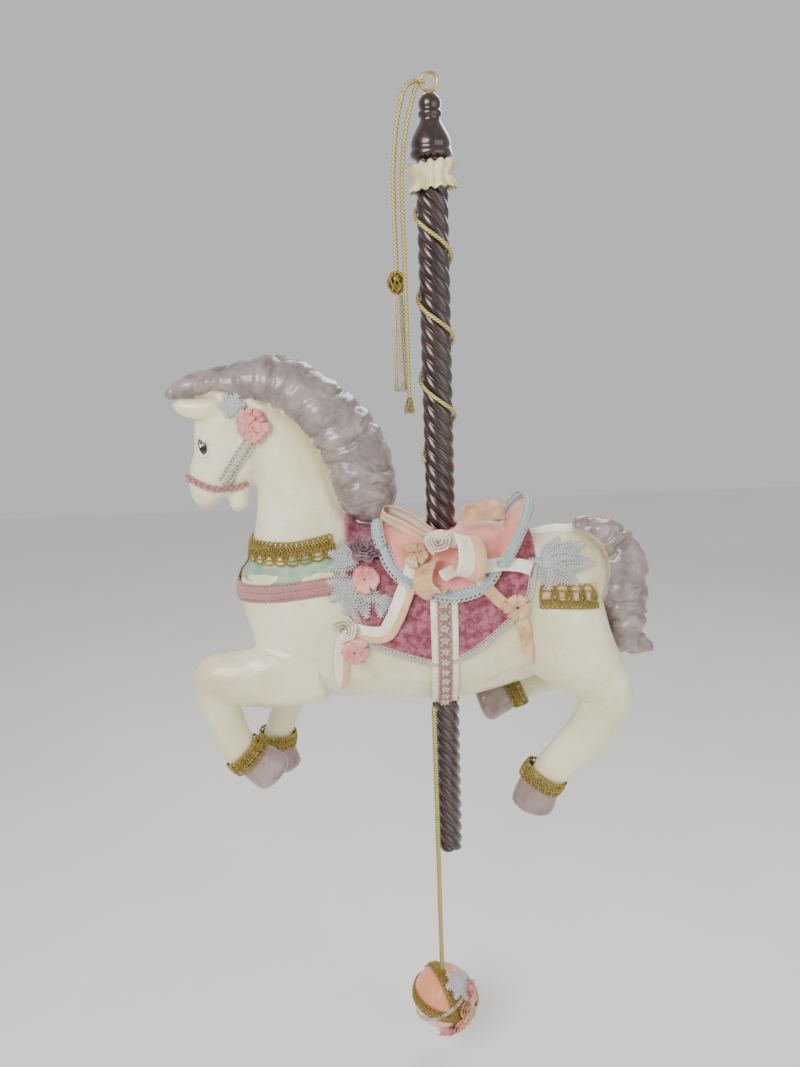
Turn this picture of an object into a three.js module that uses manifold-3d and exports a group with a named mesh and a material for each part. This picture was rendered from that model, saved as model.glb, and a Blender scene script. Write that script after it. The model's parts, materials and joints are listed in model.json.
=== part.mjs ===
// A hanging carousel horse in painted papier-mache on a rope-twist pole, dressed with
// a saddle, ribbons, braid, lace and cloth flowers. Millimetres, +Z up. The horse faces -X
// and its dressed left side faces -Y. Heights are measured from the pole's foot, and the
// whole group is then lowered so that the origin is where a hook bears inside the top ring.
import * as THREE from 'three';
import { mergeVertices } from 'three/addons/utils/BufferGeometryUtils.js';
import Module from 'manifold-3d';

const wasm = await Module();
wasm.setup();

// ---- driving dimensions ----
const POLE_RADIUS = 16;
const POLE_GROOVE = 2.8;
const POLE_STRANDS = 5;
const TWIST_LEAD = 80;
const TWIST_TOP = 784;
const TWIST_STEP = 13.2;
const BORE_RADIUS = POLE_RADIUS + 0.4;
const RING_HEIGHT = 845.6;
const RING_RADIUS = 8;
const RING_WIRE = 1.6;
const HOLD_HEIGHT = RING_HEIGHT + RING_RADIUS - RING_WIRE;
const CORD_RADIUS = 3;
const TASSEL_CORD = 2.4;
const PENDANT_CORD = 372;
const BALL_RADIUS = 38;
const GAP = 0.3;
const BLANKET_THICK = 2.2;
const BRAID_THICK = 2.4;
const RIBBON_THICK = 1.2;
const DEEP = 300;
const SADDLE_THICK = 6;
const WOUND_CORD = 2.3;
const WOUND_RADIUS = POLE_RADIUS + WOUND_CORD - 0.6;

// ---- materials ----
const paint = (color, roughness = 0.5, metalness = 0) =>
  new THREE.MeshStandardMaterial({ color, roughness, metalness });
const CREAM = paint('#dcd6ae', 0.35);
const DARK_WOOD = paint('#2c1b17', 0.35);
const BRASS = paint('#d9bf7a', 0.35, 0.9);
const GOLD_CORD = paint('#cdbb5c', 0.5, 0.3);
const GOLD_BRAID = paint('#b39a4a', 0.5, 0.4);
const CORAL = paint('#dd8878', 0.6);
const ROSE_PLUSH = paint('#9c4a5a', 0.95);
const GREEN_SATIN = paint('#87a583', 0.5);
const PINK_BRAID = paint('#c98a84', 0.8);
const CREAM_SATIN = paint('#f0e6c4', 0.4);
const PEACH_SATIN = paint('#d9a878', 0.4);
const WHITE_LACE = paint('#eef0ec', 0.85);
const MAUVE = paint('#8a5562', 0.8);

// ---- solids from rings ----
// Closed skin over (steps + 1) rings of equal size: point(u, v, target) with u 0..1 along
// and v 0..1 around. A loop closes on itself; otherwise each end is fanned to its centre.
function skin(steps, sides, point, loop = false) {
  const rings = loop ? steps : steps + 1;
  const spots = [];
  for (let i = 0; i < rings; i++) {
    for (let j = 0; j < sides; j++) {
      spots.push(point(i / steps, j / sides, new THREE.Vector3()));
    }
  }
  const at = (i, j) => (i % rings) * sides + (j % sides);
  const faces = [];
  for (let i = 0; i < steps; i++) {
    for (let j = 0; j < sides; j++) {
      faces.push(at(i, j), at(i, j + 1), at(i + 1, j + 1));
      faces.push(at(i, j), at(i + 1, j + 1), at(i + 1, j));
    }
  }
  if (!loop) {
    for (const [ring, flip] of [[0, true], [steps, false]]) {
      const centre = new THREE.Vector3();
      for (let j = 0; j < sides; j++) centre.add(spots[at(ring, j)]);
      spots.push(centre.divideScalar(sides));
      for (let j = 0; j < sides; j++) {
        const edge = [at(ring, j), at(ring, j + 1)];
        if (flip) edge.reverse();
        faces.push(edge[0], edge[1], spots.length - 1);
      }
    }
  }
  const geometry = new THREE.BufferGeometry().setFromPoints(spots);
  geometry.setIndex(faces);
  return solidOf(geometry);
}

// A manifold solid from any closed geometry, turned right side out.
function solidOf(source) {
  let geometry = source.clone();
  geometry.deleteAttribute('normal');
  geometry.deleteAttribute('uv');
  geometry = mergeVertices(geometry, 1e-4);
  const build = (index) =>
    new wasm.Manifold(new wasm.Mesh({
      numProp: 3,
      vertProperties: Float32Array.from(geometry.attributes.position.array),
      triVerts: Uint32Array.from(index),
    }));
  const index = Array.from(geometry.index.array);
  const solid = build(index);
  return solid.volume() > 0 ? solid : build(index.reverse());
}

// Body of oval sections along a spine. Each row is x, y, z, half depth across the spine in
// the XZ plane, half width in Y. swell grows every section, and carve(u, v) scales it.
function loft(rows, { sides = 16, steps = 2 * (rows.length - 1), swell = 0, carve } = {}) {
  const spine = new THREE.CatmullRomCurve3(rows.map((r) => new THREE.Vector3(r[0], r[1], r[2])));
  const sizes = new THREE.CatmullRomCurve3(rows.map((r) => new THREE.Vector3(r[3], r[4], 0)));
  const sideways = new THREE.Vector3(0, 1, 0);
  return skin(steps, sides, (u, v, target) => {
    const along = spine.getTangent(u);
    const across = new THREE.Vector3().crossVectors(along, sideways).normalize();
    const wide = new THREE.Vector3().crossVectors(across, along);
    const size = sizes.getPoint(u);
    const scale = carve ? carve(u, v) : 1;
    const angle = 2 * Math.PI * v;
    return target.copy(spine.getPoint(u))
      .addScaledVector(along, u === 0 ? -swell : u === 1 ? swell : 0)
      .addScaledVector(across, (Math.max(size.x, 2) + swell) * scale * Math.cos(angle))
      .addScaledVector(wide, (Math.max(size.y, 2) + swell) * scale * Math.sin(angle));
  });
}

// Flat strip of ribbon through points. Its face is turned towards `face`, or it rolls about
// a fixed `across` direction. taper draws the far end in to a point.
function ribbon(points, width, { face, across, thick = RIBBON_THICK, steps = 8, taper = 0 } = {}) {
  const path = new THREE.CatmullRomCurve3(points.map((p) => new THREE.Vector3(...p)));
  const facing = new THREE.Vector3(...(face ?? [0, -1, 0]));
  return skin(steps, 4, (u, v, target) => {
    const along = path.getTangent(u);
    const side = across ? new THREE.Vector3(...across) : new THREE.Vector3().crossVectors(along, facing);
    side.addScaledVector(along, -side.dot(along)).normalize();
    const out = new THREE.Vector3().crossVectors(side, along);
    const corner = Math.round(v * 4);
    const half = 0.5 * width * (1 - taper * u ** 3);
    return target.copy(path.getPoint(u))
      .addScaledVector(side, corner < 2 ? half : -half)
      .addScaledVector(out, (corner === 1 || corner === 2 ? 0.5 : -0.5) * thick);
  });
}

// Round cord through points.
function cord(points, radius, steps, sides = 8) {
  const path = new THREE.CatmullRomCurve3(points.map((p) => new THREE.Vector3(...p)), false, 'centripetal');
  const outline = new THREE.Shape();
  for (let i = 0; i < sides; i++) {
    const angle = 2 * Math.PI * i / sides;
    const [x, y] = [radius * Math.cos(angle), radius * Math.sin(angle)];
    if (i) outline.lineTo(x, y);
    else outline.moveTo(x, y);
  }
  return solidOf(new THREE.ExtrudeGeometry(outline, { steps, extrudePath: path, bevelEnabled: false }));
}

// A cloth flower or rosette: a low dome of petals on a flat back, facing out along a normal.
function flower(centre, normal, radius, depth, petals = 5) {
  const profile = [[0.8, 0], [1, 0.4], [0.66, 0.85], [0.22, 1]];
  const turn = new THREE.Quaternion().setFromUnitVectors(
    new THREE.Vector3(0, 0, 1), new THREE.Vector3(...normal).normalize());
  return skin(3, 2 * petals, (u, v, target) => {
    const [spread, height] = profile[Math.round(3 * u)];
    const valley = Math.round(v * 2 * petals) % 2;
    const reach = radius * spread * (valley ? 0.82 : 1);
    const angle = 2 * Math.PI * v;
    return target.set(reach * Math.cos(angle), reach * Math.sin(angle), depth * height)
      .applyQuaternion(turn).add(new THREE.Vector3(...centre));
  });
}

// Everything inside a side outline (x, z points), through the whole width of the horse.
function sideCut(points) {
  const outline = new THREE.Shape(points.map(([x, z]) => new THREE.Vector2(x, z)));
  const slab = new THREE.ExtrudeGeometry(outline, { depth: DEEP, bevelEnabled: false });
  return solidOf(slab.rotateX(Math.PI / 2).translate(0, DEEP / 2, 0));
}

const ball = ([x, y, z], [rx, ry, rz], around = 12, up = 8) =>
  solidOf(new THREE.SphereGeometry(1, around, up).rotateX(Math.PI / 2).scale(rx, ry, rz).translate(x, y, z));
const rod = (radius, low, high, sides = 16) =>
  solidOf(new THREE.CylinderGeometry(radius, radius, high - low, sides)
    .rotateX(Math.PI / 2).translate(0, 0, (low + high) / 2));
const joined = (solids) => solids.reduce((sum, one) => sum.add(one));
const mirrored = (rows) => rows.map(([x, y, z, ...sizes]) => [x, -y, z, ...sizes]);

// ---- the horse ----
const TORSO = [
  [-219, 0, 318, 24, 20], [-208, 0, 320, 62, 42], [-180, 0, 318, 94, 55], [-135, 0, 315, 100, 60],
  [-70, 0, 311, 101, 62], [0, 0, 307, 103, 62], [60, 0, 311, 93, 60], [105, 0, 319, 82, 58],
  [140, 0, 328, 79, 52], [163, 0, 328, 62, 38], [176, 0, 324, 26, 18],
];
const NECK = [
  [-140, 0, 330, 78, 52], [-148, 0, 385, 64, 46], [-150, 0, 430, 51, 40], [-153, 0, 470, 45, 34],
  [-165, 0, 510, 41, 30], [-186, 0, 544, 34, 26], [-206, 0, 562, 20, 17],
];
const HEAD = [
  [-206, 0, 577, 10, 10], [-213, 0, 561, 30, 24], [-220, 0, 539, 37, 28], [-226, 0, 514, 34, 27],
  [-234, 0, 492, 29, 22], [-243, 0, 474, 27, 19], [-251, 0, 458, 20, 18], [-254, 0, 446, 13, 14],
  [-255, 0, 439, 5, 6],
];
const JAW = [
  [-200, 0, 536, 16, 18], [-203, 0, 512, 25, 26], [-208, 0, 488, 20, 21], [-213, 0, 468, 13, 14],
  [-217, 0, 452, 11, 12], [-219, 0, 441, 10, 10], [-220, 0, 435, 4, 4],
];
const LEFT_EAR = [
  [-216, -19, 552, 6, 5], [-232, -22, 550, 11, 8], [-250, -23, 550, 11, 8], [-265, -23, 553, 8, 6],
  [-274, -22, 556, 2, 2],
];
const MANE = [
  [-284, 0, 561, 4, 5], [-270, 0, 567, 9, 13], [-245, 0, 573, 13, 21], [-218, 0, 574, 16, 27],
  [-190, 0, 574, 24, 30], [-163, 0, 568, 31, 32], [-135, 0, 552, 31, 34], [-110, 0, 527, 34, 36],
  [-93, 0, 500, 37, 37], [-85, 0, 470, 36, 37], [-80, 0, 445, 33, 35], [-80, 0, 428, 22, 25],
  [-81, 0, 418, 9, 10],
];
const TAIL = [
  [146, 0, 402, 10, 10], [165, 0, 401, 13, 14], [182, 0, 393, 16, 17], [195, 0, 374, 24, 21],
  [199, 0, 350, 30, 23], [199, 0, 322, 31, 24], [201, 0, 296, 29, 24], [206, 0, 275, 26, 21],
  [221, 0, 260, 15, 13], [240, 0, 253, 5, 5],
];
const LEGS = [
  // left foreleg: forearm, shank and hoof
  [[-140, -26, 264, 46, 30], [-175, -36, 258, 40, 30], [-210, -42, 257, 35, 27],
    [-240, -45, 259, 31, 24], [-262, -46, 261, 24, 20], [-274, -46, 262, 12, 11]],
  [[-251, -46, 281, 12, 12], [-255, -46, 264, 22, 20], [-256, -46, 238, 21, 20],
    [-247, -46, 208, 21, 18], [-240, -45, 182, 21, 17], [-231, -45, 163, 20, 17],
    [-222, -44, 151, 16, 14]],
  [[-233, -44, 168, 13, 12], [-222, -44, 158, 21, 18], [-209, -44, 147, 24, 20],
    [-199, -44, 138, 23, 20], [-195, -44, 134, 16, 14]],
  // right foreleg
  [[-140, 28, 262, 46, 30], [-165, 36, 235, 36, 27], [-184, 41, 205, 24, 20],
    [-192, 43, 178, 19, 17], [-203, 43, 150, 17, 15], [-209, 43, 133, 17, 15],
    [-211, 43, 122, 13, 12]],
  [[-210, 43, 137, 13, 12], [-208, 43, 126, 18, 16], [-205, 43, 108, 21, 18],
    [-203, 43, 95, 22, 19], [-202, 43, 89, 15, 13]],
  // left hind leg: thigh, shank and hoof
  [[105, -26, 330, 60, 32], [125, -34, 292, 57, 33], [148, -40, 262, 44, 30],
    [168, -42, 240, 34, 26], [186, -43, 224, 25, 21], [198, -43, 214, 12, 11]],
  [[189, -43, 238, 14, 13], [181, -43, 219, 27, 22], [169, -43, 192, 28, 21],
    [150, -43, 164, 25, 19], [133, -42, 143, 24, 18], [117, -42, 126, 22, 17],
    [106, -42, 112, 19, 16]],
  [[107, -42, 121, 19, 16], [104, -42, 111, 23, 18], [99, -42, 97, 25, 20],
    [95, -42, 82, 25, 20], [93, -42, 76, 18, 14]],
  // right hind leg
  [[100, 28, 325, 56, 32], [118, 36, 285, 49, 32], [132, 40, 247, 36, 27],
    [138, 42, 224, 28, 22], [139, 42, 208, 16, 14]],
  [[154, 42, 223, 12, 12], [142, 42, 215, 24, 20], [118, 42, 203, 22, 18],
    [98, 42, 193, 18, 16], [82, 42, 184, 16, 14]],
  [[91, 42, 188, 14, 13], [81, 42, 183, 19, 17], [63, 42, 175, 23, 19],
    [49, 42, 169, 24, 20], [44, 42, 167, 17, 14]],
];
// Locks of hair as slanting waves over the mane and tail, dying out at both ends.
const locks = (waves, slant, depth) => (u, v) => {
  const fade = Math.min(1, 5 * u, 5 * (1 - u));
  return 1 + depth * fade * Math.sin(2 * Math.PI * (waves * u + slant * v));
};

const trunk = (swell) => joined([
  loft(TORSO, { sides: 14, steps: 12, swell }),
  loft(NECK, { sides: 12, steps: 6, swell }),
]);
function limbs(swell) {
  return joined([
    loft(HEAD, { sides: 12, steps: 9, swell }),
    loft(JAW, { sides: 8, steps: 6, swell }),
    ...[LEFT_EAR, mirrored(LEFT_EAR)].map((ear) => loft(ear, { sides: 6, steps: 5, swell })),
    loft(MANE, { sides: 10, steps: 26, swell, carve: locks(8, 1, 0.06) }),
    loft(TAIL, { sides: 10, steps: 14, swell, carve: locks(3, 1, 0.06) }),
    ...LEGS.map((rows) => loft(rows, { sides: 8, steps: rows.length - 1, swell })),
  ]);
}
const poleBore = rod(BORE_RADIUS, 150, 480, 14);
const horse = trunk(0).add(limbs(0)).subtract(poleBore);
const limbRoom = limbs(GAP);
const clearOfHorse = trunk(GAP).add(limbRoom);

// A covering that follows the body: between two distances off it, inside a side outline.
const covering = (low, thick, region) =>
  trunk(low + thick).intersect(region).subtract(trunk(low)).subtract(limbRoom).subtract(poleBore);
// The place on the left flank at x and z, a distance off the body.
function flank(x, z, off) {
  const next = TORSO.findIndex((row) => row[0] > x);
  const [a, b] = [TORSO[next - 1], TORSO[next]];
  const blend = (x - a[0]) / (b[0] - a[0]);
  const [middle, half, wide] = [2, 3, 4].map((k) => a[k] + blend * (b[k] - a[k]));
  const rise = (z - middle) / (half + off);
  return [x, -(wide + off) * Math.sqrt(Math.max(0, 1 - rise * rise)), z];
}
const onFlank = (rows) => rows.map(([x, z, off]) => flank(x, z, off));

// Crochet lace lying on the flank: leaves fanned from a stalk at (x, z), cut in one piece.
// Each leaf is a heading in degrees and a length.
function lace([x, z], leaves, off, thick = 1.2) {
  const sides = 26;
  const rows = [[0.3, off], [1, off], [1, off + thick], [0.3, off + thick]];
  return skin(3, sides, (u, v, target) => {
    const angle = 2 * Math.PI * v;
    const reach = leaves.map(([heading, length]) => {
      const turn = Math.cos(angle - THREE.MathUtils.degToRad(heading));
      return length * Math.max(0, turn) ** 10;
    });
    const tooth = Math.round(v * sides) % 2 ? 1 : 0.84;
    const [share, lift] = rows[Math.round(3 * u)];
    const radius = share * tooth * Math.max(9, ...reach);
    return target.set(...flank(x + radius * Math.cos(angle), z + radius * Math.sin(angle), lift));
  });
}
// Satin strap lying on the flank from one (x, z) to another.
function strap([x0, z0], [x1, z1], width, off, thick = RIBBON_THICK, steps = 5) {
  const slope = new THREE.Vector2(x1 - x0, z1 - z0).normalize();
  return skin(steps, 4, (u, v, target) => {
    const corner = Math.round(v * 4);
    const side = (corner < 2 ? 0.5 : -0.5) * width;
    const lift = corner === 1 || corner === 2 ? off + thick : off;
    const [x, z] = [x0 + u * (x1 - x0) - slope.y * side, z0 + u * (z1 - z0) + slope.x * side];
    return target.set(...flank(x, z, lift));
  });
}

// ---- pole, finial and ring ----
function twistedPole() {
  const perStrand = 2;
  const sides = POLE_STRANDS * perStrand;
  const steps = Math.round(TWIST_TOP / TWIST_STEP);
  const twist = skin(steps, sides, (u, v, target) => {
    const angle = 2 * Math.PI * (v - u * TWIST_TOP / TWIST_LEAD);
    const groove = Math.round(v * sides) % perStrand === 0 ? POLE_GROOVE : 0;
    const radius = POLE_RADIUS - groove;
    return target.set(radius * Math.cos(angle), radius * Math.sin(angle), u * TWIST_TOP);
  });
  const finial = [
    [0, TWIST_TOP - 14], [12, TWIST_TOP - 14], [20, 783], [19, 791], [17, 798], [12.5, 807],
    [9.2, 814], [11.4, 816.5], [11.4, 819.5], [9.2, 821], [11, 827], [7.5, 834], [0, 836],
  ].map(([r, z]) => new THREE.Vector2(r, z));
  const turned = solidOf(new THREE.LatheGeometry(finial, 12).rotateX(Math.PI / 2));
  return twist.add(turned).subtract(rod(RING_WIRE + GAP, 824, 850, 8));
}
function hangingRing() {
  const eye = new THREE.TorusGeometry(RING_RADIUS, RING_WIRE, 5, 13)
    .rotateX(Math.PI / 2).translate(0, 0, RING_HEIGHT);
  return solidOf(eye).add(rod(RING_WIRE, 824.3, RING_HEIGHT - RING_RADIUS + 1, 6));
}
function ruffle() {
  const folds = 8;
  return skin(3 * folds, 4, (u, v, target) => {
    const corner = Math.round(v * 4);
    const outer = corner === 1 || corner === 2;
    const top = corner >= 2;
    const angle = 2 * Math.PI * u;
    const wave = Math.sin(folds * angle + (top ? 0.6 : 0));
    const radius = outer ? 23 + 2.5 * wave : POLE_RADIUS + 1;
    const height = 762 + (top ? 12 : -12) + (outer ? 1.5 * wave : 0) + 2 * Math.cos(angle);
    return target.set(radius * Math.cos(angle), radius * Math.sin(angle), height);
  }, true);
}
// Cord wound down the pole in one of its grooves.
function woundCord() {
  const [top, bottom] = [745, 482];
  const sides = 6;
  const steps = Math.round(11 * (top - bottom) / TWIST_LEAD);
  return skin(steps, sides, (u, v, target) => {
    const height = top + (bottom - top) * u;
    const turn = 2 * Math.PI * (0.6 - height / TWIST_LEAD);
    const around = 2 * Math.PI * v;
    const radius = WOUND_RADIUS + WOUND_CORD * Math.cos(around);
    return target.set(radius * Math.cos(turn), radius * Math.sin(turn),
      height + 1.3 * WOUND_CORD * Math.sin(around));
  });
}

// ---- saddle and cloths ----
const BLANKET_OUTLINE = [
  [-104, 440], [-104, 352], [-97, 325], [-88, 303], [-70, 291], [-40, 279], [-10, 271], [24, 280],
  [51, 301], [73, 321], [90, 343], [97, 372], [97, 440],
];
const SADDLE_OUTLINE = [
  [-67, 440], [-67, 412], [-64, 393], [-52, 373], [-24, 356], [8, 348], [36, 354], [60, 378],
  [76, 402], [88, 440],
];
const BLANKET_TOP = GAP + BLANKET_THICK;
// Cantle and pommel rise as walls across the back, narrowing upwards.
const CANTLE = [
  [56, 0, 366, 8, 55], [66, 0, 384, 8, 50], [76, 0, 402, 8, 45], [85, 0, 418, 8, 38],
  [91, 0, 429, 7, 26], [93, 0, 434, 4, 14],
];
const POMMEL = [
  [-56, 0, 385, 6, 48], [-62, 0, 400, 7, 41], [-64, 0, 411, 7, 30], [-64, 0, 419, 4, 14],
];
function makeSaddle() {
  const seat = covering(BLANKET_TOP + GAP, SADDLE_THICK, sideCut(SADDLE_OUTLINE));
  const under = trunk(BLANKET_TOP + GAP).add(limbRoom);
  const wall = (rows) => loft(rows, { sides: 10, steps: 5 }).subtract(under);
  return joined([seat, wall(CANTLE), wall(POMMEL)]);
}

// ---- build the group ----
const model = new THREE.Group();
const figure = new THREE.Group();
figure.position.z = -HOLD_HEIGHT;
model.add(figure);
function place(name, solid, material) {
  const { vertProperties, triVerts } = solid.getMesh();
  const geometry = new THREE.BufferGeometry();
  geometry.setAttribute('position', new THREE.BufferAttribute(vertProperties, 3));
  geometry.setIndex(new THREE.BufferAttribute(triVerts, 1));
  const mesh = new THREE.Mesh(geometry, material);
  mesh.name = name;
  figure.add(mesh);
}

place('horse', horse, CREAM);
place('pole', twistedPole(), DARK_WOOD);
place('hanging_ring', hangingRing(), BRASS);
place('pole_ruffle', ruffle(), CREAM_SATIN);
place('pole_cord', woundCord(), GOLD_CORD);

const saddle = makeSaddle();
place('saddle', saddle, CORAL);
place('saddle_blanket', covering(GAP, BLANKET_THICK, sideCut(BLANKET_OUTLINE)), ROSE_PLUSH);
place('girth', covering(BLANKET_TOP + GAP, RIBBON_THICK,
  sideCut([[-18, 190], [12, 190], [12, 346], [-18, 346]])).subtract(saddle), CREAM_SATIN);
place('breast_band', covering(GAP, 1.6,
  sideCut([[-240, 358], [-105, 373.6], [-105, 401.2], [-160, 389], [-240, 391]])), GREEN_SATIN);
place('gold_braid', covering(GAP, BRAID_THICK,
  sideCut([[-240, 391.6], [-160, 389.6], [-105, 401.8], [-105, 416], [-160, 412], [-240, 406]])), GOLD_BRAID);
place('pink_braid', covering(GAP, BRAID_THICK,
  sideCut([[-240, 340], [-105, 356], [-105, 373], [-240, 357.4]])), PINK_BRAID);

// Hindquarter trimmings: a satin strap edged with looped braid, and crochet leaves above it.
place('rump_band', strap([98, 332], [160, 328], 26, 3.2, 1.6).subtract(clearOfHorse), GOLD_BRAID);
place('rump_lace', lace([110, 374], [[28, 48], [-4, 52], [-42, 40], [-84, 24], [150, 16]], 3.4)
  .subtract(clearOfHorse), WHITE_LACE);
// Shoulder trimmings, over the front edge of the blanket.
place('shoulder_lace', lace([-88, 370], [[150, 28], [190, 28], [-100, 38], [-48, 36], [235, 30]],
  BLANKET_TOP + 1.2), WHITE_LACE);
place('mauve_flower', flower(flank(-84, 394, 5.8), [0, -0.8, 0.5], 14, 8), MAUVE);
place('coral_flower', flower(flank(-84, 368, 5.2), [0, -1, 0.35], 13, 8), CORAL);
place('blanket_rose', flower(flank(-109, 320, 3.2), [-0.1, -1, 0.1], 12.5, 11), CREAM_SATIN);
place('blanket_flower', flower(flank(-98, 294, 3.6), [-0.1, -1, -0.2], 13, 8).subtract(clearOfHorse), CORAL);

// The bow on the saddle, in front of the pole.
const ON_SADDLE = BLANKET_TOP + GAP + SADDLE_THICK;
place('bow_rose', flower([-8, -47, 405], [0, -0.7, 0.7], 12, 9), CREAM_SATIN);
place('bow_flower', flower([-31, -50, 393], [-0.1, -0.8, 0.6], 12, 8), PEACH_SATIN);
place('bow_large_loop', ribbon([
  [22, -33, 413], [22, -52, 416], [23, -68, 405], [24, -76, 388], [23, -70, 373], [22, -62, 366],
], 38, { across: [1, 0, -0.12], steps: 10 }), CREAM_SATIN);
place('bow_left_loop', ribbon([
  [-22, -34, 415], [-38, -32, 421], [-56, -27, 426], [-63, -24, 430], [-58, -22, 434], [-40, -26, 429],
  [-22, -29, 422],
], 15, { across: [0.1, -0.6, 0.8], steps: 10 }), PEACH_SATIN);
place('bow_lower_loop', ribbon([
  [-15, -60, 386], [-16, -71, 380], [-17, -77, 370], [-16, -75, 360], [-15, -69, 354],
], 23, { across: [1, 0, 0.1], thick: 1.6 }), PEACH_SATIN);
place('bow_back', ribbon([
  [22, -22, 424], [36, -28, 428], [52, -26, 427], [64, -18, 422], [66, -6, 424], [52, 2, 426],
  [38, -2, 424], [28, -10, 427],
], 12, { across: [0, 0.4, 0.9], steps: 14 }), PEACH_SATIN);

// Streamers from the bow down over the saddle and blanket.
place('left_streamer', joined([
  ribbon(onFlank([[-32, 380, 11], [-42, 360, 10.6], [-52, 336, 8.5], [-60, 314, 6]]), 22),
  ribbon(onFlank([[-52, 314, 6.2], [-72, 311, 5.6], [-95, 316, 5]]), 14, { steps: 5 }),
]), CREAM_SATIN);
place('right_streamer', ribbon(
  onFlank([[38, 359, 10.6], [44, 352, 10.4], [54, 340, 8], [62, 334, 6]]), 12, { steps: 6 }), PEACH_SATIN);
place('right_fold', ribbon(
  onFlank([[44, 366, 12.5], [60, 370, 12.5], [76, 369, 11], [90, 365, 9]]), 13, { steps: 6 }), CREAM_SATIN);
place('ribbon_knot', flower(flank(74, 334, 3.8), [0.1, -1, 0], 11.5, 7), PEACH_SATIN);
place('ribbon_tail', ribbon(
  onFlank([[86, 326, 3.6], [87, 306, 3.4], [90, 286, 3], [95, 266, 3]]), 12, { taper: 0.9, steps: 6 })
  .subtract(clearOfHorse), PEACH_SATIN);

// Bridle: rosettes behind the eye, braid down the cheek, noseband and a bow under the jaw.
place('white_rosette', flower([-215, -22, 549], [-0.2, -1, 0.4], 12, 8).subtract(clearOfHorse), WHITE_LACE);
place('coral_rosette', flower([-191, -25, 534], [0, -1, 0.3], 15, 11, 6).subtract(clearOfHorse), CORAL);
place('cheek_braid', ribbon([[-197, -29, 512], [-206, -30, 500], [-218, -27, 486], [-229, -23, 474]], 12,
  { thick: 3, steps: 5 }).subtract(clearOfHorse), CREAM_SATIN);
place('noseband', joined([
  ribbon([[-264, -14, 478], [-250, -21, 471], [-238, -22, 467]], 8, { thick: 3.4, steps: 4 }),
  ribbon([[-240, -22, 467], [-224, -18, 467], [-206, -16, 471]], 8, { thick: 3.4, steps: 4 }),
]).subtract(clearOfHorse), PINK_BRAID);

// Lace around the top of each hoof: centre, tilt about Y in degrees, half length and half width.
const HOOF_LACE = {
  left_fore: [[-228, -44.6, 163], -42, 23.5, 20.5],
  right_fore: [[-207.5, 43, 134], 6, 22.5, 19],
  left_hind: [[107, -42, 117], 32, 26.5, 21.5],
  right_hind: [[87, 42, 187], 68, 22, 19],
};
function hoofLace(centre, tilt, long, wide) {
  const turn = new THREE.Quaternion().setFromAxisAngle(
    new THREE.Vector3(0, 1, 0), THREE.MathUtils.degToRad(tilt));
  return skin(12, 4, (u, v, target) => {
    const corner = Math.round(v * 4);
    const spread = corner === 1 || corner === 2 ? 2 : 0;
    const angle = 2 * Math.PI * u;
    return target.set((long + spread) * Math.cos(angle), (wide + spread) * Math.sin(angle), corner < 2 ? -8 : 8)
      .applyQuaternion(turn).add(new THREE.Vector3(...centre));
  }, true);
}
for (const [leg, shape] of Object.entries(HOOF_LACE)) {
  place(`${leg}_hoof_lace`, hoofLace(...shape), GOLD_BRAID);
}

// Cord under the belly with the decorated ball, hanging beside the pole.
const PENDANT = [-15, -21];
const CORD_TOP = 200;
const BALL_HEIGHT = CORD_TOP - PENDANT_CORD - BALL_RADIUS;
place('pendant_cord', cord([
  [...PENDANT, CORD_TOP], [...PENDANT, 100], [...PENDANT, 0], [...PENDANT, CORD_TOP - PENDANT_CORD],
], CORD_RADIUS, 6), GOLD_CORD);
place('pendant_ball', ball([...PENDANT, BALL_HEIGHT - GAP], [BALL_RADIUS, BALL_RADIUS, BALL_RADIUS], 12, 7), CORAL);
// A spot on the ball at a longitude (0 faces -Y, positive towards +X) and latitude in degrees.
function onBall(longitude, latitude, off) {
  const [a, b] = [longitude, latitude].map(THREE.MathUtils.degToRad);
  const normal = [Math.sin(a) * Math.cos(b), -Math.cos(a) * Math.cos(b), Math.sin(b)];
  const reach = BALL_RADIUS + off;
  const centre = [PENDANT[0], PENDANT[1], BALL_HEIGHT - GAP].map((c, i) => c + reach * normal[i]);
  return [centre, normal];
}
place('pendant_flowers', joined([[50, 0], [46, -32]].map(([longitude, latitude]) =>
  flower(...onBall(longitude, latitude, 0.6), 16, 9))), PEACH_SATIN);
place('pendant_lace', flower(...onBall(58, 56, 1), 19, 5, 7), WHITE_LACE);

// Cord tied through the ring, with a knotted tassel on one end and a frayed end on the other.
place('cord_tie', solidOf(new THREE.TorusGeometry(3.9, 1.7, 5, 9)
  .translate(-RING_RADIUS, 0, RING_HEIGHT)), GOLD_CORD);
const TASSEL = [-38, -14];
const FRAYED = [-30, -22];
place('tassel_cord', cord([
  [-14.4, -3.6, 846], [-24, -9, 838], [-32, -12, 810], [-37, -14, 770], [...TASSEL, 730], [...TASSEL, 678],
], TASSEL_CORD, 8), GOLD_CORD);
place('frayed_cord', cord([
  [-12.2, -7.4, 842], [-19, -15, 822], [-26, -20, 792], [-30, -22, 752], [...FRAYED, 700],
  [...FRAYED, 552],
], TASSEL_CORD, 8), GOLD_CORD);
place('tassel_knot', ball([...TASSEL, 665], [8.5, 8.5, 12.4], 9, 6), GOLD_BRAID);
place('tassel', solidOf(new THREE.CylinderGeometry(5, 8, 94, 10).rotateX(Math.PI / 2)
  .translate(...TASSEL, 605)), CREAM_SATIN);
place('frayed_end', solidOf(new THREE.CylinderGeometry(2.6, 6, 16, 8).rotateX(Math.PI / 2)
  .translate(...FRAYED, 543)), GOLD_CORD);

export default model;
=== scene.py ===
"""Visual model of a hanging carousel horse: varnished papier-mache on a rope-twist pole,
dressed with satin ribbon, braid, crochet, cloth flowers, twisted cords and a hanging ball.
Places are in millimetres, with heights from the pole's foot; at() turns them into metres."""
import json
import math
import random

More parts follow.
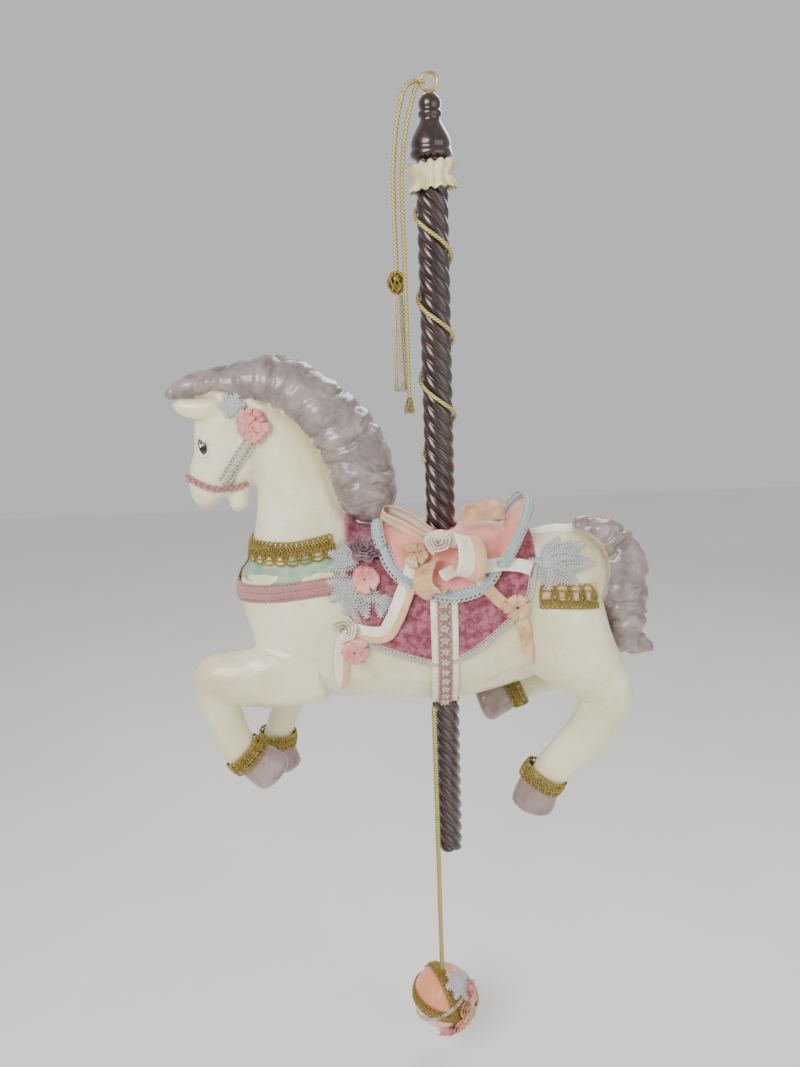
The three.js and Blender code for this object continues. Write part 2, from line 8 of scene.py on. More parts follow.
import bpy
from mathutils import Matrix, Vector, noise
from mathutils.bvhtree import BVHTree
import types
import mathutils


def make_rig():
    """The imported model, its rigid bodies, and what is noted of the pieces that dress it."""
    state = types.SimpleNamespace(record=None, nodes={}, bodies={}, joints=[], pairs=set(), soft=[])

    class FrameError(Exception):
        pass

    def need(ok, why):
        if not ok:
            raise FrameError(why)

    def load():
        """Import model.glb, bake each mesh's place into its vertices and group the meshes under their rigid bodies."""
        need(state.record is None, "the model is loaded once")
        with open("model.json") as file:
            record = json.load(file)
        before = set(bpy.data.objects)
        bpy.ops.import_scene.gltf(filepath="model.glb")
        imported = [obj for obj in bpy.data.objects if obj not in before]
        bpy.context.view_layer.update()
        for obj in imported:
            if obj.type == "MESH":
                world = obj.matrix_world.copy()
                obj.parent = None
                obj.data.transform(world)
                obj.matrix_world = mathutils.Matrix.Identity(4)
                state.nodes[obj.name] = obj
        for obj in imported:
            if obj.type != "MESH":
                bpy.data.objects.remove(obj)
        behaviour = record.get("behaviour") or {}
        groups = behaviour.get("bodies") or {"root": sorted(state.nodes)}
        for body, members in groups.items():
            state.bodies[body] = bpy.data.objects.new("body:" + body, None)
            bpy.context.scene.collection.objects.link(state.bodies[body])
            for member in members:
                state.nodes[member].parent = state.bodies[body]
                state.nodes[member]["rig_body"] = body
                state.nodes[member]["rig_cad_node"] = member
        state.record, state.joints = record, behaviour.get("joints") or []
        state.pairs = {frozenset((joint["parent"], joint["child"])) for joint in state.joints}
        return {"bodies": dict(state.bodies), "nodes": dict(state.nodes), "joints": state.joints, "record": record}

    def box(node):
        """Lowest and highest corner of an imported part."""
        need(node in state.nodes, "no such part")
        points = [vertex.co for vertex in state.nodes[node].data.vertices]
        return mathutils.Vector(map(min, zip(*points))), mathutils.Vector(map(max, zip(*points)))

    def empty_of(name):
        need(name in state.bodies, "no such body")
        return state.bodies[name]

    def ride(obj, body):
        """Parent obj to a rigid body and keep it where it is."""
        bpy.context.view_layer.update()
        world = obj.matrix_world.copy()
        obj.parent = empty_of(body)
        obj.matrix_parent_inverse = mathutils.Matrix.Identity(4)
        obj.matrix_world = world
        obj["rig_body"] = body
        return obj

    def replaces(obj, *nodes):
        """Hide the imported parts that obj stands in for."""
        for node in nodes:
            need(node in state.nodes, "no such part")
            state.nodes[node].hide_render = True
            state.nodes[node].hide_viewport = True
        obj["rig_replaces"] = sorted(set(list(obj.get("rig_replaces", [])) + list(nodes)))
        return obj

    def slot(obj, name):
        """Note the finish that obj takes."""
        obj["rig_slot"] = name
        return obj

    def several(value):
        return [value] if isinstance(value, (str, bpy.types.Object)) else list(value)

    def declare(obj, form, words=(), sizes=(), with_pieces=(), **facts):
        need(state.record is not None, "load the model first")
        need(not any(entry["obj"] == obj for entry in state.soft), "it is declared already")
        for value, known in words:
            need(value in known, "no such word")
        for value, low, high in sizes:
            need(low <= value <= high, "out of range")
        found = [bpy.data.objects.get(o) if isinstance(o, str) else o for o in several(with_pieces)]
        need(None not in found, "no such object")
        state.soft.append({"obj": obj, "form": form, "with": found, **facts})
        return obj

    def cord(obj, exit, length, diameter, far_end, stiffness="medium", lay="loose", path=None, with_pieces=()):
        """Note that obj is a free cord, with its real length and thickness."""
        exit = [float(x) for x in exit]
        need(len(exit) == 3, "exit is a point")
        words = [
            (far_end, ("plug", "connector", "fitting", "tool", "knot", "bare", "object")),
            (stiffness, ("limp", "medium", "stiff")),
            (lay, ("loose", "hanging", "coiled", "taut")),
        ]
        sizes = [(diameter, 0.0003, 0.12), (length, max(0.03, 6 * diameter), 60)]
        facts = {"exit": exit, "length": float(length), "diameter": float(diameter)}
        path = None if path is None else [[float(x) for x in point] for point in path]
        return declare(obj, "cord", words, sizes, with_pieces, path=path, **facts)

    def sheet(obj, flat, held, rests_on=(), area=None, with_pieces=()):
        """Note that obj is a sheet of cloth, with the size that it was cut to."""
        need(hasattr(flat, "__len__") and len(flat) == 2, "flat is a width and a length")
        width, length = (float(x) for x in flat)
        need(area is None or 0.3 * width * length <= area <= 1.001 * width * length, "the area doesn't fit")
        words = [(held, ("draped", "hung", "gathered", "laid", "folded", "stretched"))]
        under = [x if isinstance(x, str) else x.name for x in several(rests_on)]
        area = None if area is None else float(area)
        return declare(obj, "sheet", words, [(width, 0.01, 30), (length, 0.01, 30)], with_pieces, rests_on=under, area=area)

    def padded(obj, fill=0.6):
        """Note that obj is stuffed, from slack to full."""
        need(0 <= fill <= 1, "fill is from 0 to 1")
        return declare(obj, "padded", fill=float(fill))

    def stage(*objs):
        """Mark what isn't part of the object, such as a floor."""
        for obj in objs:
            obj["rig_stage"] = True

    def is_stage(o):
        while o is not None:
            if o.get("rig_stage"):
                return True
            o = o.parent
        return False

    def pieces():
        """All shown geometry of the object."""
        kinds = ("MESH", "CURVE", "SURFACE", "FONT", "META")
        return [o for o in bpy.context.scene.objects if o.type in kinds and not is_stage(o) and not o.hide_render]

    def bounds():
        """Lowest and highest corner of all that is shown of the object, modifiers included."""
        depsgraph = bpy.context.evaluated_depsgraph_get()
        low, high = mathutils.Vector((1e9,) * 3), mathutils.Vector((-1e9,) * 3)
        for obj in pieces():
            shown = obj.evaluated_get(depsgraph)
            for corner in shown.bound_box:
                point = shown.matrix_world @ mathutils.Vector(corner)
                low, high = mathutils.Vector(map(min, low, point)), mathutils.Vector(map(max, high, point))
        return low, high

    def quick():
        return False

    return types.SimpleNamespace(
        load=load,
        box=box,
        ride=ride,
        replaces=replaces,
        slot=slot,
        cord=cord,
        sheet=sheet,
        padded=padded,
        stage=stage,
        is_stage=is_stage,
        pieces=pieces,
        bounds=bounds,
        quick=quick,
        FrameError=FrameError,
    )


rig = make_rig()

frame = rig.load()
cad_low, cad_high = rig.bounds()
random.seed(11)

MM = 0.001
TAU = 2 * math.pi
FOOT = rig.box("pole")[0][2]


def at(x, y, z):
    return Vector((x * MM, y * MM, FOOT + z * MM))


# ---- camera: level with the horse's back, looking a little down ----
PITCH = math.radians(16)
ROLL = math.radians(-2.4)
DISTANCE = 880
AIM = (-45.4, 0, 402)

forward = Vector((0, math.cos(PITCH), -math.sin(PITCH)))
level = Vector((1, 0, 0))
upright = level.cross(forward)
camera_right = level * math.cos(ROLL) + upright * math.sin(ROLL)
camera_up = upright * math.cos(ROLL) - level * math.sin(ROLL)
lens = bpy.data.cameras.new("camera")
lens.sensor_width = 36
lens.lens = 27
camera = bpy.data.objects.new("camera", lens)
bpy.context.scene.collection.objects.link(camera)
turned_to = Matrix((camera_right, camera_up, -forward)).transposed().to_4x4()
camera.matrix_world = Matrix.Translation(at(*AIM) - forward * DISTANCE * MM) @ turned_to
bpy.context.scene.camera = camera


# ---- materials ----
def linear(colour):
    """sRGB hex to the linear colour that a shader takes."""
    parts = [int(colour[i:i + 2], 16) / 255 for i in (1, 3, 5)]
    return [c / 12.92 if c <= 0.04045 else ((c + 0.055) / 1.055) ** 2.4 for c in parts] + [1.0]


def node(tree, kind, inputs, give=None, **settings):
    """Adds a node with its settings, sets or links its inputs by name or number, and gives back
    one output socket. A hex string is a colour."""
    made = tree.nodes.new("ShaderNode" + kind)
    for name, value in settings.items():
        setattr(made, name, value)
    for name, value in inputs.items():
        socket = made.inputs[name] if isinstance(name, int) else next(
            s for s in made.inputs if s.enabled and s.name == name)
        if isinstance(value, bpy.types.NodeSocket):
            tree.links.new(value, socket)
        else:
            socket.default_value = linear(value) if isinstance(value, str) else value
    return made.outputs[give] if give else next(s for s in made.outputs if s.enabled)


def material(name, pattern, **sockets):
    """A material whose pattern(tree) gives colour, roughness, height and bump depth in metres."""
    made = bpy.data.materials.new(name)
    made.use_nodes = True
    tree = made.node_tree
    shader = tree.nodes["Principled BSDF"]
    for socket, value in sockets.items():
        shader.inputs[socket.replace("_", " ")].default_value = (
            linear(value) if isinstance(value, str) else value)
    colour, rough, height, depth = pattern(tree)
    tree.links.new(colour, shader.inputs["Base Color"])
    tree.links.new(rough, shader.inputs["Roughness"])
    tree.links.new(node(tree, "Bump", {"Height": height, "Distance": depth, "Strength": 0.8}),
                   shader.inputs["Normal"])
    return made


def grain(tree, size, detail=4, stretch=(1, 1, 1)):
    """Soft irregular pattern fixed to the object, with features of a size in millimetres."""
    where = node(tree, "TexCoord", {}, "Object")
    where = node(tree, "Mapping", {"Vector": where, "Scale": stretch})
    return node(tree, "TexNoise", {"Vector": where, "Scale": 1000 / size, "Detail": detail, "Roughness": 0.6})


# Papier-mache: torn paper about 25 mm wide pasted in layers and brushed with yellowed varnish,
# so broad shallow facets and fine wrinkles show under a gloss. The coat attribute holds hair,
# hoof and airbrushed shade.
def paste_pattern(tree):
    coat = node(tree, "Attribute", {}, "Color", attribute_name="coat")
    parts = tree.nodes.new("ShaderNodeSeparateColor")
    tree.links.new(coat, parts.inputs[0])
    hair, hoof, shade = parts.outputs
    cloud, layer, wrinkle = grain(tree, 90), grain(tree, 26, 6), grain(tree, 4)
    skin = node(tree, "Mix",
                {"Factor": node(tree, "MapRange", {"Value": cloud, "From Min": 0.38, "From Max": 0.64}),
                              "A": "#eae4c4", "B": "#d6cfa0"}, data_type="RGBA")
    blush = node(tree, "MapRange", {"Value": layer, "From Min": 0.52, "From Max": 0.8, "To Max": 0.4})
    skin = node(tree, "Mix", {"Factor": blush, "A": skin, "B": "#c2b88a"}, data_type="RGBA")
    skin = node(tree, "Mix", {"Factor": shade, "A": skin, "B": "#a98a5c"}, data_type="RGBA")
    fleck = node(tree, "MapRange",
                 {"Value": grain(tree, 2.6, 1), "From Min": 0.74, "From Max": 0.77, "To Max": 0.6})
    skin = node(tree, "Mix", {"Factor": fleck, "A": skin, "B": "#86683f"}, data_type="RGBA")
    streak = node(tree, "MapRange", {"Value": layer, "From Min": 0.36, "From Max": 0.66})
    lock = node(tree, "Mix", {"Factor": streak, "A": "#6f605f", "B": "#a0918b"}, data_type="RGBA")
    horn = node(tree, "Mix", {"Factor": streak, "A": "#7d6765", "B": "#a08a84"}, data_type="RGBA")
    colour = node(tree, "Mix", {"Factor": hair, "A": skin, "B": lock}, data_type="RGBA")
    colour = node(tree, "Mix", {"Factor": hoof, "A": colour, "B": horn}, data_type="RGBA")
    rough = node(tree, "MapRange", {"Value": wrinkle, "To Min": 0.2, "To Max": 0.42})
    fine = node(tree, "Math", {0: wrinkle, 1: 0.16}, operation="MULTIPLY")
    return colour, rough, node(tree, "Math", {0: layer, 1: fine}, operation="ADD"), 0.0024


# Turned hardwood under dark walnut stain and varnish: grain along the pole, glossy ridges.
def wood_pattern(tree):
    figure = grain(tree, 9, 6, (1, 1, 0.12))
    colour = node(tree, "Mix",
                  {"Factor": node(tree, "MapRange", {"Value": figure, "From Min": 0.35, "From Max": 0.72}),
                                "A": "#160b0a", "B": "#45261f"}, data_type="RGBA")
    return colour, node(tree, "MapRange", {"Value": figure, "To Min": 0.22, "To Max": 0.4}), figure, 0.0004


# Metal wire or lacquer, rubbed bright and dull in patches a few millimetres wide.
def rubbed(bright, dull, low, high, size=5):
    def pattern(tree):
        wear = grain(tree, size)
        colour = node(tree, "Mix",
                      {"Factor": node(tree, "MapRange", {"Value": wear, "From Min": 0.35, "From Max": 0.7}),
                                    "A": bright, "B": dull}, data_type="RGBA")
        return colour, node(tree, "MapRange", {"Value": wear, "To Min": low, "To Max": high}), wear, 0.0003
    return pattern


# Satin ribbon: warp threads 0.8 mm apart along the strip (drawn coarser than real ones, which
# would not show), soft creases about 20 mm wide, painted darker in their hollows as painted shade
# and lighter on their crests as painted sheen, and woven picot lines at both edges. A far
# colour fills the half of the width past the middle, where two ribbons are laid together.
def satin_pattern(light, dark, far=None, width=22):
    def pattern(tree):
        strip = node(tree, "UVMap", {}, uv_map="UVMap")
        across = node(tree, "SeparateXYZ", {"Vector": strip}, "Y")
        crease = grain(tree, 20, 3)
        warp = node(tree, "Math",
                    {0: node(tree, "Math", {0: across, 1: TAU * width / 0.8}, operation="MULTIPLY")},
                    operation="SINE")
        # painted shade in the crease hollows and painted sheen on their crests
        crease_shade = node(tree, "MapRange", {"Value": crease, "From Min": 0.32, "From Max": 0.68})
        colour = node(tree, "Mix", {"Factor": crease_shade, "A": dark, "B": light}, data_type="RGBA")
        if far:
            side = node(tree, "MapRange", {"Value": across, "From Min": 0.57, "From Max": 0.59})
            colour = node(tree, "Mix", {"Factor": side, "A": colour, "B": far}, data_type="RGBA")
        edge = node(tree, "Math", {0: node(tree, "Math", {0: across, 1: 0.5}, operation="SUBTRACT")},
                    operation="ABSOLUTE")
        rim = node(tree, "MapRange", {"Value": edge, "From Min": 0.455, "From Max": 0.475, "To Max": 0.35})
        colour = node(tree, "Mix", {"Factor": rim, "A": colour, "B": dark}, data_type="RGBA")
        height = node(tree, "Math", {0: warp, 1: 0.04, 2: crease}, operation="MULTIPLY_ADD")
        return colour, node(tree, "MapRange",
                            {"Value": crease, "To Min": 0.24, "To Max": 0.46}), height, 0.0014
    return pattern


# Spun yarn, its UV in millimetres along it and once round it: plies wind once in a lead, painted
# dark in the grooves between them as painted shade and bright on top as painted highlight, with
# loose fibre about 1 mm long.
def yarn_pattern(light, dark, low, high, lead):
    def pattern(tree):
        strip = node(tree, "UVMap", {}, uv_map="UVMap")
        along = node(tree, "SeparateXYZ", {"Vector": strip}, "X")
        round_it = node(tree, "SeparateXYZ", {"Vector": strip}, "Y")
        turn = node(tree, "Math", {0: round_it, 1: 3.0, 2: node(
            tree, "Math", {0: along, 1: 3 / lead}, operation="MULTIPLY")}, operation="MULTIPLY_ADD")
        ply = node(tree, "Math", {0: node(tree, "Math", {0: turn, 1: TAU}, operation="MULTIPLY")},
                   operation="SINE")
        fibre, patch = grain(tree, 1.1, 2), grain(tree, 14)
        # painted shade in the grooves between plies and painted highlight on their tops
        shade_and_sheen = node(tree, "MapRange", {"Value": ply, "From Min": -1, "From Max": 0.4})
        colour = node(tree, "Mix", {"Factor": shade_and_sheen, "A": dark, "B": light}, data_type="RGBA")
        stain = node(tree, "MapRange", {"Value": patch, "From Min": 0.45, "From Max": 0.75, "To Max": 0.35})
        colour = node(tree, "Mix", {"Factor": stain, "A": colour, "B": dark}, data_type="RGBA")
        height = node(tree, "Math", {0: fibre, 1: 0.6, 2: ply}, operation="MULTIPLY_ADD")
        return colour, node(tree, "MapRange", {"Value": fibre, "To Min": low, "To Max": high}), height, 0.0003
    return pattern


# Crushed velvet: pile pressed flat in patches about 9 mm wide, painted near black-red where it lies
# away as painted shade and bright at the tips as painted sheen, with single tufts about 1.5 mm
# painted darker as painted shade.
def velvet_pattern(tree):
    patch, pile = grain(tree, 9, 5), grain(tree, 1.6, 3)
    # painted shade where the pile lies away and painted sheen at its tips
    shade_and_sheen = node(tree, "MapRange", {"Value": patch, "From Min": 0.4, "From Max": 0.6})
    colour = node(tree, "Mix", {"Factor": shade_and_sheen, "A": "#7c3a49", "B": "#b46a78"}, data_type="RGBA")
    # single tufts painted darker as painted shade
    tuft_shade = node(tree, "MapRange", {"Value": pile, "From Min": 0.45, "From Max": 0.75, "To Max": 0.7})
    colour = node(tree, "Mix", {"Factor": tuft_shade, "A": colour, "B": "#4d1f2b"}, data_type="RGBA")
    height = node(tree, "Math", {0: pile, 1: 0.5, 2: patch}, operation="MULTIPLY_ADD")
    return colour, node(tree, "MapRange", {"Value": pile, "To Min": 0.8, "To Max": 1.0}), height, 0.0022


# Coral satin over wadding, lighter peach higher up towards the cantle; creases about 14 mm wide,
# painted darker in their hollows as painted shade and lighter on top as painted sheen.
def saddle_pattern(tree):
    place = node(tree, "TexCoord", {}, "Object")
    height = node(tree, "SeparateXYZ", {"Vector": place}, "Z")
    crease = grain(tree, 14)
    # painted shade in the crease hollows and painted sheen on their tops
    crease_shade = node(tree, "MapRange", {"Value": crease, "From Min": 0.34, "From Max": 0.68})
    colour = node(tree, "Mix", {"Factor": crease_shade, "A": "#d4766c", "B": "#f0a093"}, data_type="RGBA")
    # lighter peach higher up, towards the cantle
    rise = node(tree, "MapRange",
                {"Value": height, "From Min": FOOT + 0.385, "From Max": FOOT + 0.43, "To Max": 0.65})
    colour = node(tree, "Mix", {"Factor": rise, "A": colour, "B": "#f2b795"}, data_type="RGBA")
    return colour, node(tree, "MapRange", {"Value": crease, "To Min": 0.38, "To Max": 0.58}), crease, 0.002


PASTE = material("varnished_papier_mache", paste_pattern, IOR=1.5, Coat_Weight=0.6, Coat_Roughness=0.14)
WOOD = material("stained_varnished_hardwood", wood_pattern, IOR=1.5, Coat_Weight=0.8, Coat_Roughness=0.1)
BRASS = material("polished_brass_wire", rubbed("#e5cb8d", "#a78548", 0.18, 0.4), Metallic=1.0)
BLACK = material("gloss_black_lacquer", rubbed("#0d0a0a", "#241a18", 0.06, 0.14), IOR=1.5, Coat_Weight=1.0)
# White for the small dot set on each eye as a painted highlight.
HIGHLIGHT_WHITE = material("painted_highlight_white", rubbed("#faf8f0", "#e6dfc9", 0.2, 0.4), IOR=1.5)
CREAM_SATIN = material("cream_satin_ribbon", satin_pattern("#fbf6e6", "#ddd2b0"), Sheen_Weight=0.4)
YELLOW_SATIN = material("pale_yellow_satin", satin_pattern("#f2e9bf", "#c6b97f"), Sheen_Weight=0.4)
PEACH_SATIN = material("peach_satin_ribbon", satin_pattern("#edc799", "#bd8a5b"), Sheen_Weight=0.4)
TWO_TONE = material("cream_and_peach_ribbon", satin_pattern("#fcf8ea", "#e2d9bb", "#deb283", 22),
                    Sheen_Weight=0.4)
PINK_SATIN = material("coral_pink_ribbon", satin_pattern("#f6b3a4", "#c96a62", width=10), Sheen_Weight=0.4)
GREEN_SATIN = material("seafoam_satin", satin_pattern("#a2bd9a", "#769a77"), Sheen_Weight=0.4)
TAN_SATIN = material("tan_satin", satin_pattern("#dfcba2", "#b59667"), Sheen_Weight=0.4)
MAUVE_CLOTH = material("mauve_gathered_cloth", satin_pattern("#a06d79", "#4b2631", width=12),
                       Sheen_Weight=0.8)
VELVET = material("rose_crushed_velvet", velvet_pattern, Sheen_Weight=1.0, Sheen_Roughness=0.35,
                  Sheen_Tint="#f3c3c6")
SADDLE_CLOTH = material("coral_padded_satin", saddle_pattern, Sheen_Weight=0.6, Sheen_Roughness=0.35)
PINK_YARN = material("dusty_pink_cotton", yarn_pattern("#e3a49b", "#9d5652", 0.6, 0.85, 2.4),
                     Sheen_Weight=0.4)
BLUE_YARN = material("pale_blue_chenille", yarn_pattern("#c9dde7", "#7f9fb4", 0.8, 1.0, 2.0),
                     Sheen_Weight=1.0)
CREAM_YARN = material("cream_cotton", yarn_pattern("#f6f2e2", "#bfb491", 0.6, 0.85, 2.2), Sheen_Weight=0.4)
LACE_YARN = material("white_crochet_cotton", yarn_pattern("#fcfdfb", "#b9c0bb", 0.6, 0.85, 2.0),
                     Sheen_Weight=0.3)
GOLD_YARN = material("gold_foil_thread", yarn_pattern("#d9c16b", "#5f4a1c", 0.25, 0.5, 3.0), Metallic=0.85)
OLD_GOLD = material("antique_gold_thread", yarn_pattern("#a48b48", "#33250d", 0.3, 0.55, 3.0), Metallic=0.8)
GOLD_CORD = material("gold_and_cream_rayon_cord", yarn_pattern("#e2d590", "#7d6929", 0.32, 0.55, 11.0),
                     Metallic=0.35)
SILK = material("cream_silk_fringe", yarn_pattern("#f5edcc", "#bfae78", 0.3, 0.5, 9.0), Sheen_Weight=0.5)


# ---- shaping by operators ----
def deselect():
    if bpy.context.object and bpy.context.object.mode != "OBJECT":
        bpy.ops.object.mode_set(mode="OBJECT")
    bpy.ops.object.select_all(action="DESELECT")


def only(piece):
    deselect()
    piece.select_set(True)
    bpy.context.view_layer.objects.active = piece


def modify(piece, kind, **settings):
    """Adds a modifier and applies it."""
    only(piece)
    made = piece.modifiers.new(kind.lower(), kind)
    for name, value in settings.items():
        setattr(made, name, value)
    bpy.ops.object.modifier_apply(modifier=made.name)


def settle(piece):
    """Moves an object's place into its mesh."""
    only(piece)
    bpy.ops.object.transform_apply(location=True, rotation=True, scale=True)


def join(pieces, name):
    only(pieces[0])
    for piece in pieces[1:]:
        piece.select_set(True)
    if len(pieces) > 1:
        bpy.ops.object.join()
    joined = bpy.context.object
    joined.name = name
    return joined


def dress(piece, name, finish, slot, nodes=()):
    """Names and paints a finished piece, and ties it to the horse and its CAD nodes."""
    piece.name = name
    piece.data.name = name
    piece.data.materials.clear()
    piece.data.materials.append(finish)
    piece.data.polygons.foreach_set("use_smooth", [True] * len(piece.data.polygons))
    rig.ride(piece, "root")
    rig.slot(piece, slot)
    if nodes:
        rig.replaces(piece, *nodes)
    return piece


def catmull(rows, per_span, closed=False):
    """Rows of numbers joined by a smooth curve, per_span steps between each pair."""
    rows = [Vector(r) for r in rows]
    count = len(rows)
    out = []
    for i in range(count if closed else count - 1):
        b, c = rows[i], rows[(i + 1) % count]
        a = rows[i - 1] if i or closed else b * 2 - c
        d = rows[(i + 2) % count] if i + 2 < count or closed else c * 2 - b
        for k in range(per_span):
            t = k / per_span
            out.append(0.5 * (b * 2 + (c - a) * t + (a * 2 - b * 5 + c * 4 - d) * t * t
                              + (b * 3 - a - c * 3 + d) * t ** 3))
    return out if closed else out + [rows[-1]]


def drawn_out(rows, sides=20, per_span=3):
    """A limb pulled from a disc: extruded from station to station, and at each one turned to
    face along the limb and scaled to its oval. Rows are x, y, z, half depth, half width."""
    stations = catmull([Vector(r) for r in rows], per_span)
    spots = [at(*s[:3]) for s in stations]
    last = len(spots) - 1
    leans = []
    for i in range(last + 1):
        along = spots[min(i + 1, last)] - spots[max(i - 1, 0)]
        leans.append(math.atan2(along.x, along.z))
    deselect()
    size = [(max(s[3], 1) * MM, max(s[4], 1) * MM) for s in stations]
    bpy.ops.mesh.primitive_circle_add(vertices=sides, radius=1, fill_type="NGON", location=spots[0])
    limb = bpy.context.object
    limb.scale = (*size[0], 1)
    settle(limb)
    bpy.ops.object.mode_set(mode="EDIT")
    bpy.ops.mesh.select_all(action="SELECT")
    bpy.ops.transform.rotate(value=-leans[0], orient_axis="Y", center_override=spots[0])
    for i in range(1, last + 1):
        bpy.ops.mesh.extrude_region_move(TRANSFORM_OT_translate={"value": spots[i] - spots[i - 1]})
        bpy.ops.transform.rotate(value=leans[i - 1], orient_axis="Y", center_override=spots[i])
        grow = [size[i][k] / size[i - 1][k] for k in (0, 1)]
        bpy.ops.transform.resize(value=(*grow, 1), center_override=spots[i])
        bpy.ops.transform.rotate(value=-leans[i], orient_axis="Y", center_override=spots[i])
    bpy.ops.mesh.select_all(action="SELECT")
    bpy.ops.mesh.normals_make_consistent(inside=False)
    bpy.ops.object.mode_set(mode="OBJECT")
    return limb


def turned_piece(profile, sides=40, x=0, y=0):
    """A turned shape about a vertical axis, extruded and scaled ring by ring. Rows are radius, height."""
    deselect()
    bpy.ops.mesh.primitive_circle_add(vertices=sides, radius=profile[0][0] * MM, fill_type="NGON",
                                      location=at(x, y, profile[0][1]))
    bpy.ops.object.mode_set(mode="EDIT")
    for (r0, z0), (r1, z1) in zip(profile, profile[1:]):
        bpy.ops.mesh.extrude_region_move(TRANSFORM_OT_translate={"value": (0, 0, (z1 - z0) * MM)})
        bpy.ops.transform.resize(value=(r1 / r0, r1 / r0, 1), center_override=at(x, y, z1))
    bpy.ops.mesh.select_all(action="SELECT")
    bpy.ops.mesh.normals_make_consistent(inside=False)
    bpy.ops.object.mode_set(mode="OBJECT")
    made = bpy.context.object
    settle(made)
    return made


def bead(centre, sizes, around=16, up=10):
    """An oval bead at a place already in metres; sizes in millimetres."""
    deselect()
    bpy.ops.mesh.primitive_uv_sphere_add(segments=around, ring_count=up, radius=1, location=centre)
    made = bpy.context.object
    made.scale = [s * MM for s in sizes]
    settle(made)
    return made


# ---- yarn, ribbon and braid ----
class Work:
    """Tubes and strips of many threads gathered into one mesh."""

    def __init__(self):
        self.points, self.faces, self.uvs = [], [], []

    def grid(self, rows, uv_rows, loop=False, ring=False):
        base, wide, high = len(self.points), len(rows[0]), len(rows)
        for row, uv_row in zip(rows, uv_rows):
            self.points.extend(row)
            self.uvs.extend(uv_row)
        for i in range(high if loop else high - 1):
            for j in range(wide if ring else wide - 1):
                below, right = (i + 1) % high, (j + 1) % wide
                self.faces.append((base + i * wide + j, base + i * wide + right,
                                   base + below * wide + right, base + below * wide + j))
        return base

    def tube(self, path, radius, sides=5, loop=False, section=None):
        """Round thread in metres along a path with a radius in millimetres, fixed or a function
        of the share along. section(angle, distance) scales it into plies."""
        count, distance, normal = len(path), 0.0, None
        rows, uv_rows = [], []
        for i, point in enumerate(path):
            before = path[i - 1] if i or loop else point
            after = path[(i + 1) % count] if i < count - 1 or loop else point
            tangent = (after - before).normalized()
            distance += (point - path[i - 1]).length / MM if i else 0
            normal = normal or tangent.orthogonal()
            normal = (normal - tangent * normal.dot(tangent)).normalized()
            side = tangent.cross(normal)
            thick = (radius(i / (count - 1)) if callable(radius) else radius) * MM
            turns = [TAU * j / sides for j in range(sides)]
            reach = [thick * (section(a, distance) if section else 1) for a in turns]
            rows.append([point + normal * (r * math.cos(a)) + side * (r * math.sin(a)) for r,
                         a in zip(reach, turns)])
            uv_rows.append([(distance, j / sides) for j in range(sides)])
        base = self.grid(rows, uv_rows, loop, True)
        if not loop:
            self.faces.append(tuple(base + j for j in reversed(range(sides))))
            self.faces.append(tuple(base + (count - 1) * sides + j for j in range(sides)))

    def rope(self, path, radius, lead=11.0, loop=False):
        """Three plies laid together into a cord."""
        self.tube(path, radius, 12, loop,
                  lambda a, s: 0.78 + 0.22 * abs(math.cos(1.5 * (a + TAU * s / lead))))

    def strip(self, path, sides, width, curl=0.0, lanes=6):
        """Flat ribbon along a path, with a direction across at each point. Width in millimetres,
        fixed or a function of the share along; curl lifts the middle off its edges."""
        rows, uv_rows, distance, count = [], [], 0.0, len(path)
        for i, (point, side) in enumerate(zip(path, sides)):
            along = path[min(i + 1, count - 1)] - path[max(i - 1, 0)]
            side = (side - along * (side.dot(along) / (along.length_squared or 1))).normalized()
            out = side.cross(along).normalized()
            distance += (point - path[i - 1]).length / MM if i else 0
            span = width(i / (count - 1)) if callable(width) else width
            shares = [j / (lanes - 1) - 0.5 for j in range(lanes)]
            rows.append([point + side * (s * span * MM) + out * (curl * MM * (1 - 4 * s * s)) for s in shares])
            uv_rows.append([(distance, s + 0.5) for s in shares])
        self.grid(rows, uv_rows)

    def make(self, name, finish, slot, nodes=(), thick=0.0):
        mesh = bpy.data.meshes.new(name)
        mesh.from_pydata([tuple(p) for p in self.points], [], self.faces)
        layer = mesh.uv_layers.new(name="UVMap")
        for loop in mesh.loops:
            layer.data[loop.index].uv = self.uvs[loop.vertex_index]
        piece = bpy.data.objects.new(name, mesh)
        bpy.context.scene.collection.objects.link(piece)
        if thick:
            modify(piece, "SOLIDIFY", thickness=thick * MM, offset=0)
        return dress(piece, name, finish, slot, nodes)


def area_of(piece):
    return sum(p.area for p in piece.data.polygons) / 2


def cloth(piece, width, held, rests_on=(), extras=()):
    """Declares a finished sheet: its flat width in millimetres, and the length that gives its area."""
    length = area_of(piece) / (width * MM)
    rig.sheet(piece, flat=(width * MM, round(length, 4)), held=held, rests_on=list(rests_on),
             with_pieces=list(extras))


def evened(path, step):
    """The path again with points every step millimetres."""
    run = [0.0]
    for a, b in zip(path, path[1:]):
        run.append(run[-1] + (b - a).length / MM)
    count = max(2, round(run[-1] / step)) + 1
    out, i = [], 0
    for k in range(count):
        want = run[-1] * k / (count - 1)
        while i < len(path) - 2 and run[i + 1] < want:
            i += 1
        out.append(path[i].lerp(path[i + 1], (want - run[i]) / ((run[i + 1] - run[i]) or 1)))
    return out


